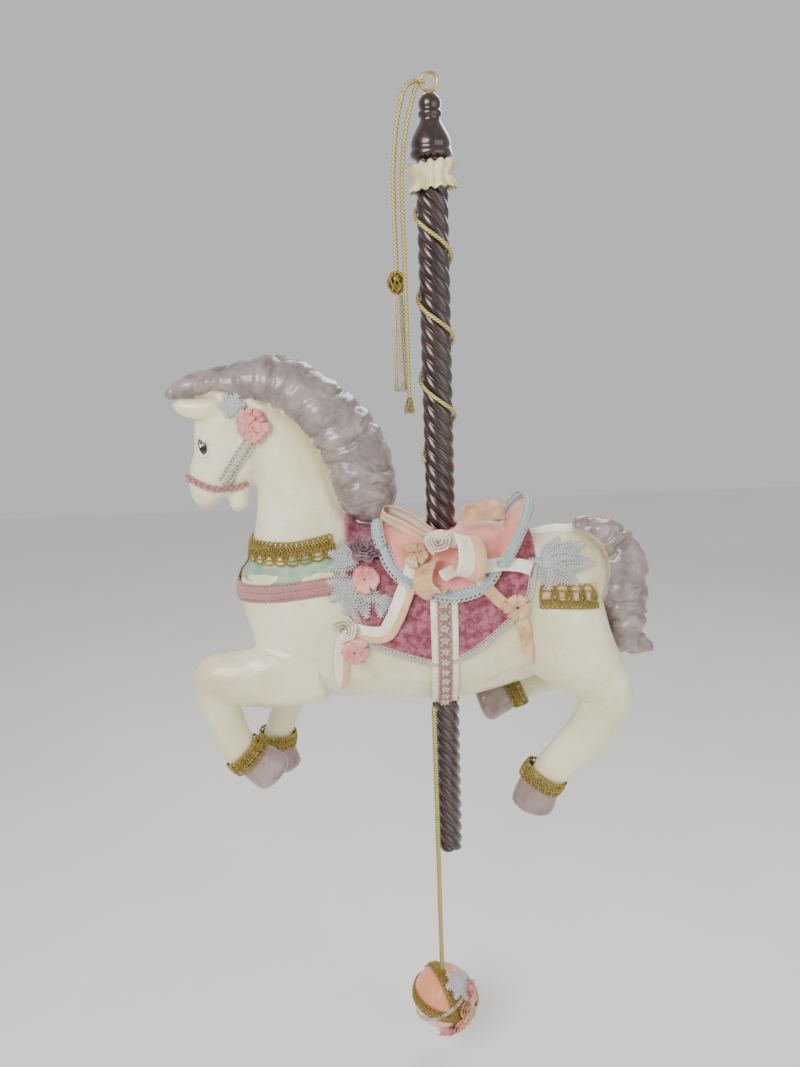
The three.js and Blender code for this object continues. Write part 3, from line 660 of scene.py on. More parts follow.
class Route:
    """A line lying on a surface, from which threads are placed: s along it, v to its side and
    w off the surface, all in millimetres."""

    def __init__(self, path, outs, step=1.5, loop=False):
        self.loop = loop
        self.spots = evened(path + path[:1] if loop else path, step)
        near = [min(range(len(path)), key=lambda k: (path[k] - p).length_squared) for p in self.spots]
        raw = [outs[k] for k in near]
        count = len(raw)
        self.outs = []
        for i in range(count):
            total = Vector()
            for k in range(-5, 6):
                total += raw[(i + k) % count if loop else min(max(i + k, 0), count - 1)]
            self.outs.append(total.normalized())
        self.length = sum((b - a).length for a, b in zip(self.spots, self.spots[1:])) / MM

    def place(self, s, v=0.0, w=0.0):
        count = len(self.spots) - 1
        x = (s / self.length % 1 if self.loop else min(max(s / self.length, 0), 1)) * count
        i = min(int(x), count - 1)
        point = self.spots[i].lerp(self.spots[i + 1], x - i)
        out = self.outs[i].lerp(self.outs[i + 1], x - i).normalized()
        a, b = max(i - 1, 0), min(i + 2, count)
        along = (self.spots[b] - self.spots[a]).normalized()
        return point + out.cross(along) * (v * MM) + out * (w * MM)

    def across(self, s):
        return (self.place(s, 1) - self.place(s)).normalized()

    def thread(self, work, radius, v, w, start=0.0, end=None, step=0.9, slip=None, sides=5):
        """A thread whose v, w and slip along are functions of the distance s."""
        end = self.length if end is None else end
        count = max(3, round((end - start) / step))
        path = []
        for k in range(count + 1):
            s = start + (end - start) * k / count
            path.append(self.place(s + (slip(s) if slip else 0), v(s), w(s)))
        work.tube(path, radius, sides)

    def plait(self, work, width, lead, radius, w=1.0, middle=0.0, strands=3):
        """Flat plait of strands that pass over and under each other."""
        for k in range(strands):
            turn = TAU * k / strands
            self.thread(work, radius, lambda s: middle + width / 2 * math.sin(TAU * s / lead + turn),
                        lambda s: w + radius * 0.8 * math.sin(2 * (TAU * s / lead + turn)))

    def loops(self, work, size, pitch, radius, v=0.0, w=1.0, side=1):
        """Row of loops that hang to one side, like picots on a braid."""
        self.thread(work, radius, lambda s: v + side * size / 2 * (1 - math.cos(TAU * s / pitch)),
                    lambda s: w + 0.4 * radius * math.cos(TAU * s / pitch), step=pitch / 14,
                    slip=lambda s: -0.42 * pitch * math.sin(TAU * s / pitch))

    def band(self, work, width, w=0.6, middle=0.0, curl=0.0, start=0.0, end=None, lanes=6):
        end = self.length if end is None else end
        count = max(3, round((end - start) / 2))
        stops = [start + (end - start) * k / count for k in range(count + 1)]
        work.strip([self.place(s, middle, w) for s in stops], [self.across(s) for s in stops], width, curl,
                   lanes)


# ---- cords: made first, because their spread decides whether the solids stand ----
CORD_RADIUS, TASSEL_CORD = 3.0, 2.4
PENDANT = (-15, -21)
CORD_TOP, CORD_FALL, BALL_RADIUS = 200, 372, 38
BALL_CENTRE = (*PENDANT, CORD_TOP - CORD_FALL - BALL_RADIUS)
TASSEL, FRAYED = (-38, -14), (-30, -22)


def corded(name, rows, radius, slot, nodes, per_span):
    path = catmull([at(*r) for r in rows], per_span)
    work = Work()
    work.rope(evened(path, 1.1), radius)
    return work.make(name, GOLD_CORD, slot, nodes), evened(path, (sum(
        (b - a).length for a, b in zip(path, path[1:])) / MM) / 24)


def length_of(path):
    return sum((b - a).length for a, b in zip(path, path[1:]))


pendant_cord, pendant_path = corded("pendant_cord", [
    (*PENDANT, CORD_TOP), (*PENDANT, 100), (*PENDANT, 0), (*PENDANT, CORD_TOP - CORD_FALL)],
    CORD_RADIUS, "gold_cord", ["pendant_cord"], 8)
tassel_cord, tassel_path = corded("tassel_cord", [
    (-14.4, -3.6, 846), (-24, -9, 838), (-32, -12, 810), (-37, -14, 770), (*TASSEL, 730), (*TASSEL, 640)],
    TASSEL_CORD, "gold_cord", ["tassel_cord"], 8)
frayed_cord, frayed_path = corded("frayed_cord", [
    (-12.2, -7.4, 842), (-19, -15, 822), (-26, -20, 792), (-30, -22, 752), (*FRAYED, 700), (*FRAYED, 552)],
    TASSEL_CORD, "gold_cord", ["frayed_cord"], 8)


# ---- the horse ----
TORSO = [
    (-219, 0, 318, 24, 20), (-208, 0, 320, 62, 42), (-180, 0, 318, 94, 55), (-135, 0, 315, 100, 60),
    (-70, 0, 311, 101, 62), (0, 0, 307, 103, 62), (60, 0, 311, 93, 60), (105, 0, 319, 82, 58),
    (140, 0, 328, 79, 52), (163, 0, 328, 62, 38), (176, 0, 324, 26, 18)]
NECK = [
    (-140, 0, 330, 78, 52), (-148, 0, 385, 64, 46), (-150, 0, 430, 51, 40), (-153, 0, 470, 45, 34),
    (-165, 0, 510, 41, 30), (-186, 0, 544, 34, 26), (-206, 0, 562, 20, 17)]
HEAD = [
    (-206, 0, 577, 10, 10), (-213, 0, 561, 30, 24), (-220, 0, 539, 37, 28), (-226, 0, 514, 34, 27),
    (-234, 0, 492, 29, 22), (-243, 0, 474, 27, 19), (-251, 0, 458, 20, 18), (-254, 0, 446, 13, 14),
    (-255, 0, 439, 5, 6)]
JAW = [
    (-200, 0, 536, 16, 18), (-203, 0, 512, 25, 26), (-208, 0, 488, 20, 21), (-213, 0, 468, 13, 14),
    (-217, 0, 452, 11, 12), (-219, 0, 441, 10, 10), (-220, 0, 435, 4, 4)]
EAR = [
    (-216, -19, 552, 6, 5), (-232, -22, 550, 11, 8), (-250, -23, 550, 11, 8), (-265, -23, 553, 8, 6),
    (-274, -22, 556, 2, 2)]
MANE = [
    (-284, 0, 561, 4, 5), (-270, 0, 567, 9, 13), (-245, 0, 573, 13, 21), (-218, 0, 574, 16, 27),
    (-190, 0, 574, 24, 30), (-163, 0, 568, 31, 32), (-135, 0, 552, 31, 34), (-110, 0, 527, 34, 36),
    (-93, 0, 500, 37, 37), (-85, 0, 470, 36, 37), (-80, 0, 445, 33, 35), (-80, 0, 428, 22, 25),
    (-81, 0, 418, 9, 10)]
TAIL = [
    (146, 0, 402, 10, 10), (165, 0, 401, 13, 14), (182, 0, 393, 16, 17), (195, 0, 374, 24, 21),
    (199, 0, 350, 30, 23), (199, 0, 322, 31, 24), (201, 0, 296, 29, 24), (206, 0, 275, 26, 21),
    (221, 0, 260, 15, 13), (240, 0, 253, 5, 5)]
LEGS = [
    [(-140, -26, 264, 46, 30), (-175, -36, 258, 40, 30), (-210, -42, 257, 35, 27),
     (-240, -45, 259, 31, 24), (-262, -46, 261, 24, 20), (-274, -46, 262, 12, 11)],
    [(-251, -46, 281, 12, 12), (-255, -46, 264, 22, 20), (-256, -46, 238, 21, 20), (-247, -46, 208, 21, 18),
     (-240, -45, 182, 21, 17), (-231, -45, 163, 20, 17), (-222, -44, 151, 16, 14)],
    [(-140, 28, 262, 46, 30), (-165, 36, 235, 36, 27), (-184, 41, 205, 24, 20), (-192, 43, 178, 19, 17),
     (-203, 43, 150, 17, 15), (-209, 43, 133, 17, 15), (-211, 43, 122, 13, 12)],
    [(105, -26, 330, 60, 32), (125, -34, 292, 57, 33), (148, -40, 262, 44, 30), (168, -42, 240, 34, 26),
     (186, -43, 224, 25, 21), (198, -43, 214, 12, 11)],
    [(189, -43, 238, 14, 13), (181, -43, 219, 27, 22), (169, -43, 192, 28, 21), (150, -43, 164, 25, 19),
     (133, -42, 143, 24, 18), (117, -42, 126, 22, 17), (106, -42, 112, 19, 16)],
    [(100, 28, 325, 56, 32), (118, 36, 285, 49, 32), (132, 40, 247, 36, 27), (138, 42, 224, 28, 22),
     (139, 42, 208, 16, 14)],
    [(154, 42, 223, 12, 12), (142, 42, 215, 24, 20), (118, 42, 203, 22, 18), (98, 42, 193, 18, 16),
     (82, 42, 184, 16, 14)]]
HOOVES = [
    [(-233, -44, 168, 13, 12), (-222, -44, 158, 21, 18), (-209, -44, 147, 24, 20), (-199, -44, 138, 23, 20),
     (-195, -44, 134, 16, 14)],
    [(-210, 43, 137, 13, 12), (-208, 43, 126, 18, 16), (-205, 43, 108, 21, 18), (-203, 43, 95, 22, 19),
     (-202, 43, 89, 15, 13)],
    [(107, -42, 121, 19, 16), (104, -42, 111, 23, 18), (99, -42, 97, 25, 20), (95, -42, 82, 25, 20),
     (93, -42, 76, 18, 14)],
    [(91, 42, 188, 14, 13), (81, 42, 183, 19, 17), (63, 42, 175, 23, 19), (49, 42, 169, 24, 20),
     (44, 42, 167, 17, 14)]]
VOXEL = 2.3


def tree_of(piece):
    return BVHTree.FromPolygons([v.co.copy() for v in piece.data.vertices],
                                [tuple(p.vertices) for p in piece.data.polygons])


def fused(pieces, name, rounds=8):
    """Limbs joined, fused into one skin and smoothed where they meet."""
    body = join(pieces, name)
    modify(body, "REMESH", mode="VOXEL", voxel_size=VOXEL * MM)
    modify(body, "SMOOTH", factor=0.5, iterations=rounds)
    return body


# The bare body, on which every cloth and braid is laid, is kept only as a search tree.
bare = fused([drawn_out(r) for r in (TORSO, NECK, *LEGS)], "bare_body")
GROUND = tree_of(bare)
bpy.data.objects.remove(bare)

ears = [EAR, [(x, -y, z, a, b) for x, y, z, a, b in EAR]]
flesh = [drawn_out(r) for r in (TORSO, NECK, HEAD, JAW, *ears, *LEGS)]
hair = [drawn_out(r) for r in (MANE, TAIL)]
horn = [drawn_out(r) for r in HOOVES]
flesh_trees, hair_trees, horn_trees = ([tree_of(p) for p in group] for group in (flesh, hair, horn))
horse = fused(flesh + hair + horn, "horse")


def nearest(trees, point):
    return min(tree.find_nearest(point)[3] for tree in trees)


def along_spine(rows, point):
    """Distance in millimetres along a spine to the place nearest a point, and how far off it is."""
    spots = [at(*r[:3]) for r in rows]
    best, run = (1e9, 0), 0.0
    for a, b in zip(spots, spots[1:]):
        edge = b - a
        share = min(1, max(0, (point - a).dot(edge) / edge.length_squared))
        off = (a + edge * share - point).length
        best = min(best, (off, run + share * edge.length))
        run += edge.length
    return best[1] / MM, best[0] / MM, run / MM


def ridge(x):
    """Rounded lock with a sharp furrow beside it: 1 on top, 0 in the furrow."""
    return abs(math.sin(math.pi * x)) ** 0.7


def comb(rows, point, pitch, slant):
    """Height of the carved locks at a point of mane or tail, in millimetres."""
    run, off, whole = along_spine(rows, point)
    waver = noise.noise(point * 24) * 0.75 + noise.noise(point * 70 + Vector((3, 1, 7))) * 0.25
    lean = slant * off / pitch + 0.35 * abs(point.y / MM) / pitch
    broad = ridge(run / pitch + lean + waver)
    fine = ridge(run / (pitch * 0.36) + 1.6 * lean + 1.5 * waver)
    ends = min(1, run / 18, (whole - run) / 14)
    return ends * (5.2 * (broad - 0.75) + 1.3 * (fine - 0.7))


coat = horse.data.color_attributes.new("coat", "FLOAT_COLOR", "POINT")
moved = []
for vertex in horse.data.vertices:
    point, normal = vertex.co.copy(), vertex.normal.copy()
    skin_gap, hair_gap, horn_gap = (nearest(t, point) for t in (flesh_trees, hair_trees, horn_trees))
    is_hair = hair_gap < skin_gap - 0.0004 and hair_gap < horn_gap
    is_horn = horn_gap < skin_gap - 0.0004 and not is_hair
    x, z = point.x / MM, (point.z - FOOT) / MM
    shade = 0.0
    if not is_hair and not is_horn:
        crest = max(0, 1 - hair_gap / 0.016)
        rump = max(0, 1 - (Vector((x, z)) - Vector((168, 395))).length / 60)
        muzzle = max(0, 1 - (Vector((x, z)) - Vector((-252, 440))).length / 30)
        knee = max(0, 1 - (Vector((x, z)) - Vector((-250, 262))).length / 46) * 0.35
        shade = min(0.8, 0.75 * crest + 0.5 * rump + 0.4 * muzzle + knee)
        lump = 1.1 * noise.noise(point * 30) + 0.5 * noise.noise(point * 85)
        moved.append(point + normal * (lump * MM))
    elif is_hair:
        rows = TAIL if x > 60 else MANE
        moved.append(point + normal * (comb(rows, point, 27, 0.55) * MM))
    else:
        moved.append(point + normal * (0.4 * noise.noise(point * 90) * MM))
    coat.data[vertex.index].color = (float(is_hair), float(is_horn), shade, 1)


def press(centre, radius, depth):
    """Dents, or raises where depth is negative, a spot on both sides of the horse."""
    for side in (1, -1):
        middle = at(centre[0], side * centre[1], centre[2])
        for i, point in enumerate(moved):
            gap = (point - middle).length / MM
            if gap < radius:
                fall = 0.5 + 0.5 * math.cos(math.pi * gap / radius)
                moved[i] = point - horse.data.vertices[i].normal * (depth * fall * MM)


press((-257, 12, 455), 6, 3.2)
press((-262, 5, 447), 5, 1.0)
for x, y, z in ((-236, 17, 452), (-240, 16, 447), (-246, 14, 443), (-252, 11, 440)):
    press((x, y, z), 4.5, 1.4)
press((-246, 26, 509), 9.5, 2.4)
press((-244, 25, 519), 7, -2.0)
press((-243, 25, 501), 6, -1.0)
press((-255, 23, 551), 7, 2.4)
press((-244, 24, 550), 7, 2.2)
for vertex, point in zip(horse.data.vertices, moved):
    vertex.co = point
modify(horse, "SMOOTH", factor=0.35, iterations=1)
dress(horse, "horse", PASTE, "papier_mache", ["horse"])
HORSE = tree_of(horse)


def shot(origin, heading, off=0.0, ground=None, spread=6):
    """Where a line meets the body, lifted off it, with the body's normal there averaged."""
    tree = ground or GROUND
    heading = heading.normalized()
    hit, normal, _, _ = tree.ray_cast(origin, heading)
    if hit is None:
        hit, normal, _, _ = tree.find_nearest(origin)
    total = Vector()
    for near in tree.find_nearest_range(hit, spread * MM):
        if near[1].dot(heading) < 0.3:
            total += near[1]
    normal = total.normalized() if total.length else normal
    return hit + normal * (off * MM), normal


def flank(x, z, off=0.0, side=-1, ground=None):
    """The place at x and z on the near flank, or the far one with side 1."""
    return shot(at(x, side * 300, z), Vector((0, -side, 0)), off, ground)


def girdle(x, angle, off=0.0):
    """The place at x round the barrel: 0 on the near side, 90 on the back, 180 on the far side."""
    a = math.radians(angle)
    outward = Vector((0, -math.cos(a), math.sin(a)))
    return shot(at(x, 0, 318) + outward * 0.25, -outward, off)


def chest(turn, height, off=0.0):
    """The place round the chest at a turn from the near side (0) over the front (90)."""
    a = math.radians(turn)
    outward = Vector((-math.sin(a), -math.cos(a), 0))
    point, normal = Vector(), Vector()
    z = height(-140)
    for _ in range(3):
        point, normal = shot(at(-140, 0, z) + outward * 0.25, -outward, off)
        z = height(point.x / MM)
    return point, normal


def on_flank(rows, off=0.0, per_span=8, side=-1, ground=None):
    """Route over the flank through rows of x, z and an extra lift."""
    dense = catmull([Vector((r[0], r[1], r[2] if len(r) > 2 else 0)) for r in rows], per_span)
    pairs = [flank(p.x, p.y, off + p.z, side, ground) for p in dense]
    return Route([p for p, _ in pairs], [n for _, n in pairs])


def eased(x, points):
    """Value read off a line of (x, value) points."""
    for (x0, v0), (x1, v1) in zip(points, points[1:]):
        if x <= x1:
            return v0 + (v1 - v0) * max(0, (x - x0) / (x1 - x0))
    return points[-1][1]


# ---- pole, finial, ring ----
def rope_twist_pole():
    """A five-lobed disc drawn up the pole while it turns once in every lead."""
    radius, strands, lead, top = 16.0, 5, 80.0, 784.0
    deselect()
    bpy.ops.mesh.primitive_circle_add(vertices=60, radius=radius * MM, fill_type="NOTHING",
                                      location=at(0, 0, 0))
    pole = bpy.context.object
    settle(pole)
    for vertex in pole.data.vertices:
        angle = math.atan2(vertex.co.y, vertex.co.x)
        lobe = abs(math.cos(0.5 * strands * angle + math.pi / 2)) ** 0.75
        vertex.co.x *= 1 - 0.2 * (1 - lobe)
        vertex.co.y *= 1 - 0.2 * (1 - lobe)
    modify(pole, "SCREW", angle=-TAU * top / lead, screw_offset=top * MM, steps=300, render_steps=300,
           use_merge_vertices=True, merge_threshold=1e-5)
    bpy.ops.object.mode_set(mode="EDIT")
    bpy.ops.mesh.select_all(action="SELECT")
    bpy.ops.mesh.fill_holes(sides=0)
    bpy.ops.mesh.normals_make_consistent(inside=False)
    bpy.ops.object.mode_set(mode="OBJECT")
    finial = turned_piece([
        (11, 769), (12, 770), (13, 776), (20, 780), (20.4, 783), (19.6, 786), (18.6, 787.4), (19.4, 789),
        (19.2, 793), (17.6, 798), (15, 803), (12.2, 807.5), (10.2, 811), (9.3, 814), (10.6, 815.2),
        (11.5, 817), (11.5, 819), (10.6, 820.4), (9.3, 821), (10.3, 823), (11, 826.5), (10.2, 830),
        (8, 833.4), (4.6, 835.6), (1.9, 836)], 48)
    return dress(join([pole, finial], "pole"), "pole", WOOD, "dark_wood", ["pole"])


rope_twist_pole()

RING_HEIGHT, RING_RADIUS, RING_WIRE = 845.6, 8.0, 1.6
deselect()
bpy.ops.mesh.primitive_torus_add(major_radius=RING_RADIUS * MM, minor_radius=RING_WIRE * MM,
                                 major_segments=48,
                                 minor_segments=14, location=at(0, 0, RING_HEIGHT), rotation=(math.pi / 2,
                                                                                              0, 0))
ring = bpy.context.object
settle(ring)
shank = turned_piece([(1.5, 824.4), (1.6, 826), (1.6, 835.9), (3.2, 836.1), (3.4, 836.7), (2.6, 837.3),
                      (1.7, 838)], 18)
dress(join([ring, shank], "hanging_ring"), "hanging_ring", BRASS, "brass", ["hanging_ring"])

# Gathered satin collar under the finial: two rows of pleats round a drawn-in waist.
ruffle = Work()
pleat_rows, pleat_uvs = [], []
for k in range(240):
    turn = TAU * k / 240
    row = []
    for j in range(11):
        share = j / 10
        flare = abs(2 * share - 1)
        wave = math.sin(15 * turn + 1.2 * math.sin(3 * turn)) * (0.25 + 0.75 * flare)
        radius = 18.2 + 5.2 * flare ** 0.7 + 2.2 * wave
        height = 762 + 24 * (share - 0.5) + 2.0 * math.cos(turn) + 1.2 * math.cos(15 * turn) * flare
        row.append(at(radius * math.cos(turn), radius * math.sin(turn), height))
    pleat_rows.append(row)
    pleat_uvs.append([(k * 0.6, j / 10) for j in range(11)])
ruffle.grid(pleat_rows, pleat_uvs, loop=True)
collar = ruffle.make("pole_ruffle", YELLOW_SATIN, "cream_satin", ["pole_ruffle"], 0.5)
cloth(collar, 24, "gathered", ["pole"])

# Cord wound down one groove of the pole.
winding, wound = Work(), []
for k in range(721):
    height = 745 - (745 - 482) * k / 720
    turn = TAU * (0.6 - height / 80)
    wound.append(at(17.4 * math.cos(turn), 17.4 * math.sin(turn), height))
winding.rope(wound, 2.3, 9)
winding.make("pole_cord", GOLD_CORD, "gold_cord", ["pole_cord"])


# ---- blanket and saddle ----
BLANKET_EDGE = [(-104, 352), (-97, 325), (-88, 303), (-70, 291), (-40, 279), (-10, 271), (24, 280),
                (51, 301), (73, 321), (90, 343), (97, 372)]
SADDLE_EDGE = [(-64, 393), (-52, 373), (-24, 356), (8, 348), (36, 354), (54, 371)]
ON_SADDLE = 8.9


def laid_blanket():
    """Velvet laid over the barrel from the near edge to the far one."""
    rows, uvs, around, count = [], [], 84, 90
    for i in range(count + 1):
        x = -104 + 201 * i / count
        edge, _ = flank(x, eased(x, BLANKET_EDGE))
        near = math.degrees(math.atan2(edge.z - at(0, 0, 318).z, -edge.y))
        row = []
        for j in range(around + 1):
            point, normal = girdle(x, near + (180 - 2 * near) * j / around, 1.5)
            row.append(point + normal * (0.5 * noise.noise(point * 160) * MM))
        rows.append(row)
        uvs.append([(i * 2, j * 2) for j in range(around + 1)])
    work = Work()
    work.grid(rows, uvs)
    blanket = work.make("saddle_blanket", VELVET, "rose_plush", ["saddle_blanket"], 1.8)
    cloth(blanket, 201, "draped", ["horse"])


def stuffed_saddle():
    """The saddle's own form, filled with air as cloth and held near where it started."""
    saddle = bpy.data.objects.new("saddle_pad", frame["nodes"]["saddle"].data.copy())
    bpy.context.scene.collection.objects.link(saddle)
    modify(saddle, "WELD", merge_threshold=1e-5)
    modify(saddle, "REMESH", mode="VOXEL", voxel_size=0.003)
    modify(saddle, "SMOOTH", factor=0.5, iterations=5)
    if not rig.quick():
        start = [v.co.copy() for v in saddle.data.vertices]
        only(saddle)
        stuffing = saddle.modifiers.new("stuffing", "CLOTH")
        stuffing.settings.use_pressure = True
        stuffing.settings.uniform_pressure_force = 4
        stuffing.settings.effector_weights.gravity = 0
        for step in range(1, 21):
            bpy.context.scene.frame_set(step)
        swollen = saddle.evaluated_get(bpy.context.evaluated_depsgraph_get()).data
        puffed = [v.co.copy() for v in swollen.vertices]
        saddle.modifiers.remove(stuffing)
        bpy.context.scene.frame_set(1)
        for vertex, a, b in zip(saddle.data.vertices, start, puffed):
            shift = b - a
            vertex.co = a + shift * min(1, 1.8 * MM / (shift.length or 1))
    modify(saddle, "SUBSURF", levels=1, render_levels=1)
    dress(saddle, "saddle", SADDLE_CLOTH, "coral_cloth", ["saddle"])
    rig.padded(saddle, 0.7)


laid_blanket()
stuffed_saddle()


def bound_edges():
    """Blue chenille gimp round the saddle with cream scallops, gold loops along its lower edge,
    and white gimp along the blanket's edge."""
    near = [flank(p.x, p.y, ON_SADDLE) for p in catmull([(*p, 0) for p in SADDLE_EDGE], 6)]
    arch = catmull([at(62, -57, 382), at(74, -52, 402), at(84, -44, 420), at(91, -30, 432), at(94, -12, 438),
                    at(94, 12, 438), at(91, 30, 432), at(84, 44, 420), at(74, 52, 402), at(62, 57, 382)], 5)
    bow = catmull([at(-66, 45, 402), at(-69, 36, 414), at(-70, 18, 423), at(-70, -18, 423), at(-69, -36, 414),
                   at(-66, -45, 402)], 5)
    over = [(p, (p - at(40, 0, 360)).normalized()) for p in arch]
    front = [(p, (p - at(-30, 0, 370)).normalized()) for p in bow]
    far = [(Vector((p.x, -p.y, p.z)), Vector((n.x, -n.y, n.z))) for p, n in reversed(near)]
    pairs = near + over + far + front
    rim = Route([p for p, _ in pairs], [n for _, n in pairs], loop=True)
    blue, cream, white, gold = Work(), Work(), Work(), Work()
    rim.plait(blue, 5.5, 8, 1.75, 0.4)
    rim.loops(cream, 3.4, 4.6, 0.8, 3.4, 0.2)
    rim.loops(cream, 3.4, 4.6, 0.8, -3.4, 0.2, -1)
    blue.make("saddle_gimp", BLUE_YARN, "coral_cloth")
    cream.make("saddle_scallops", CREAM_YARN, "coral_cloth")
    for side in (-1, 1):
        low = on_flank([(-62, 388), *SADDLE_EDGE[1:]], 5.2, side=side)
        low.loops(gold, 9, 9.5, 0.85, -4.4 * side, -0.6, -side)
        low.loops(gold, 5.5, 9.5, 0.7, -4.4 * side, 0.4, -side)
        low.plait(gold, 3, 5, 0.7, 0.2, -4.2 * side)
        hem = on_flank(BLANKET_EDGE, 2.2, side=side)
        hem.plait(white, 4.2, 5.5, 0.95, 0.8, -1.5 * side)
        hem.loops(white, 3.2, 4.2, 0.75, -3 * side, 0.2, -side)
    gold.make("saddle_gold_loops", OLD_GOLD, "gold_braid")
    white.make("blanket_gimp", CREAM_YARN, "white_lace")


bound_edges()


# ---- girth and bands ----
def posy(work, centre, out, radius, thread, petals=5):
    """Small worked flower: one thread looped round in petals."""
    side = out.orthogonal().normalized()
    up = out.cross(side)
    path = []
    for k in range(petals * 8):
        a = TAU * k / (petals * 8)
        r = radius * (0.58 + 0.42 * math.cos(petals * a))
        path.append(centre + side * (r * math.cos(a) * MM) + up * (r * math.sin(a) * MM)
                    + out * (0.3 * radius * MM * math.cos(petals * a)))
    work.tube(path, thread, 5, loop=True)


def girth_band():
    edge, _ = flank(-2.5, 346)
    first = math.degrees(math.atan2(edge.z - at(0, 0, 318).z, -edge.y))
    pairs = [girdle(-2.5, first - (180 + 2 * first) * k / 70, 2.9) for k in range(71)]
    belt = Route([p for p, _ in pairs], [n for _, n in pairs])
    satin, pink, cream = Work(), Work(), Work()
    belt.band(satin, 29, 0.4, curl=0.5, lanes=8)
    girth = satin.make("girth", CREAM_SATIN, "cream_satin", ["girth"], 0.5)
    belt.plait(pink, 5.5, 9, 1.05, 1.8)
    belt.loops(pink, 4.5, 6, 0.8, 2.6, 1.6)
    belt.loops(pink, 4.5, 6, 0.8, -2.6, 1.6, -1)
    for k in range(int(belt.length / 13)):
        s = 6 + 13 * k
        i = min(int(s / belt.length * (len(belt.spots) - 1)), len(belt.outs) - 1)
        posy(cream, belt.place(s, 0, 3.4), belt.outs[i], 4.2, 0.9)
    trims = [pink.make("girth_braid", PINK_YARN, "pink_braid"),
             cream.make("girth_posies", CREAM_YARN, "pink_braid")]
    cloth(girth, 29, "stretched", ["horse", "saddle_blanket"], trims)


def breast_bands():
    def line(*heights):
        spots = list(zip((-240, -160, -105), heights))
        pairs = [chest(turn, lambda x: eased(x, spots), 1.0) for turn in range(-33, 214, 3)]
        return Route([p for p, _ in pairs], [n for _, n in pairs])

    green_line, gold_line, pink_line = line(374.5, 378, 387.4), line(397, 399.5, 407), line(348.7, 358, 364.5)
    satin, gold, pink = Work(), Work(), Work()
    green_line.band(satin, 28, 0.3, curl=0.8, lanes=8)
    green = satin.make("breast_band", GREEN_SATIN, "green_satin", ["breast_band"], 0.5)
    cloth(green, 28, "stretched", ["horse"])
    gold_line.plait(gold, 7, 10, 1.25, 1.6, -1)
    gold_line.loops(gold, 6, 6, 0.85, -4, 1.4, -1)
    gold_line.loops(gold, 13, 13, 1.0, 2, 1.8)
    gold_line.loops(gold, 8, 13, 0.85, 2, 2.4)
    gold_line.loops(gold, 4.5, 6.5, 0.8, 1, 2.2)
    fall = [shot(at(-500, 0, 404 - 4 * k), Vector((1, 0, 0)), 1.6) for k in range(18)]
    front = Route([p for p, _ in fall], [n for _, n in fall])
    front.plait(gold, 4, 7, 0.9, 1.2)
    gold.make("gold_braid", GOLD_YARN, "gold_braid", ["gold_braid"])
    pink_line.plait(pink, 5.5, 7, 1.3, 1.2, -3.4)
    pink_line.plait(pink, 5.5, 7, 1.3, 1.2, 3.4)
    pink_line.loops(pink, 3.6, 4.4, 0.85, 5.4, 0.8)
    pink_line.loops(pink, 3.6, 4.4, 0.85, -5.4, 0.8, -1)
    pink.make("pink_braid", PINK_YARN, "pink_braid", ["pink_braid"])


def rump_trim():
    satin, gold = Work(), Work()
    on_flank([(99, 348), (130, 346), (163, 341)], 0.8).band(satin, 17, 0.4, curl=0.6)
    strap = satin.make("rump_satin", TAN_SATIN, "gold_braid", (), 0.5)
    cloth(strap, 17, "stretched", ["horse"])
    braid = on_flank([(99, 336), (130, 334), (161, 330)], 0.8)
    braid.plait(gold, 4.5, 8, 1.1, 1.4)
    braid.loops(gold, 19, 15.2, 1.35, 1, 1.4)
    braid.loops(gold, 12, 15.2, 1.0, 1, 2.2)
    braid.loops(gold, 4, 5, 0.8, -2, 1.2, -1)
    gold.make("rump_band", GOLD_YARN, "gold_braid", ["rump_band"])


girth_band()
breast_bands()
rump_trim()


# ---- crochet ----
def leaf(work, root, heading, out, length, width, lift=1.0, ground=None, thread=0.62):
    """Crochet leaf from a root point: midrib, open zigzag filling and an edge of picots."""
    heading = (heading - out * heading.dot(out)).normalized()
    side = out.cross(heading)

    def put(along, across, rise=0.0):
        point = root + heading * (along * MM) + side * (across * MM)
        if ground:
            spot, normal, _, _ = ground.find_nearest(point)
            return spot + normal * ((lift + rise) * MM)
        return point + out * ((lift + rise) * MM)

    def half(share):
        return width / 2 * math.sin(math.pi * min(1, share) ** 0.8) * (1 - 0.25 * share)

    work.tube([put(length * k / 14, 0, 0.7) for k in range(15)], thread * 1.25)
    teeth = max(4, round(length / 3.2))
    for hand in (-1, 1):
        zigzag = []
        for k in range(2 * teeth + 1):
            share = (k + 0.5) / (2 * teeth + 1)
            reach = half(share) * (0.86 if k % 2 else 0.12)
            zigzag.append((length * (share + (0.05 if k % 2 else 0)), hand * reach, 0.4))
        work.tube([put(*p) for p in catmull(zigzag, 3)], thread)
        edge = []
        for k in range(teeth * 10 + 1):
            share = k / (teeth * 10)
            a = TAU * share * teeth
            edge.append(put(length * share + 1.1 * math.sin(a),
                            hand * (half(share) + 1.3 - 1.3 * math.cos(a)),
                            0.3 * math.cos(a)))
        work.tube(edge, thread)


def fan(work, x, z, leaves, lift):
    root, normal = flank(x, z)
    for heading, length in leaves:
        a = math.radians(heading)
        leaf(work, root, Vector((math.cos(a), 0, math.sin(a))), normal, length, 0.42 * length, lift, GROUND)
        lift += 0.35


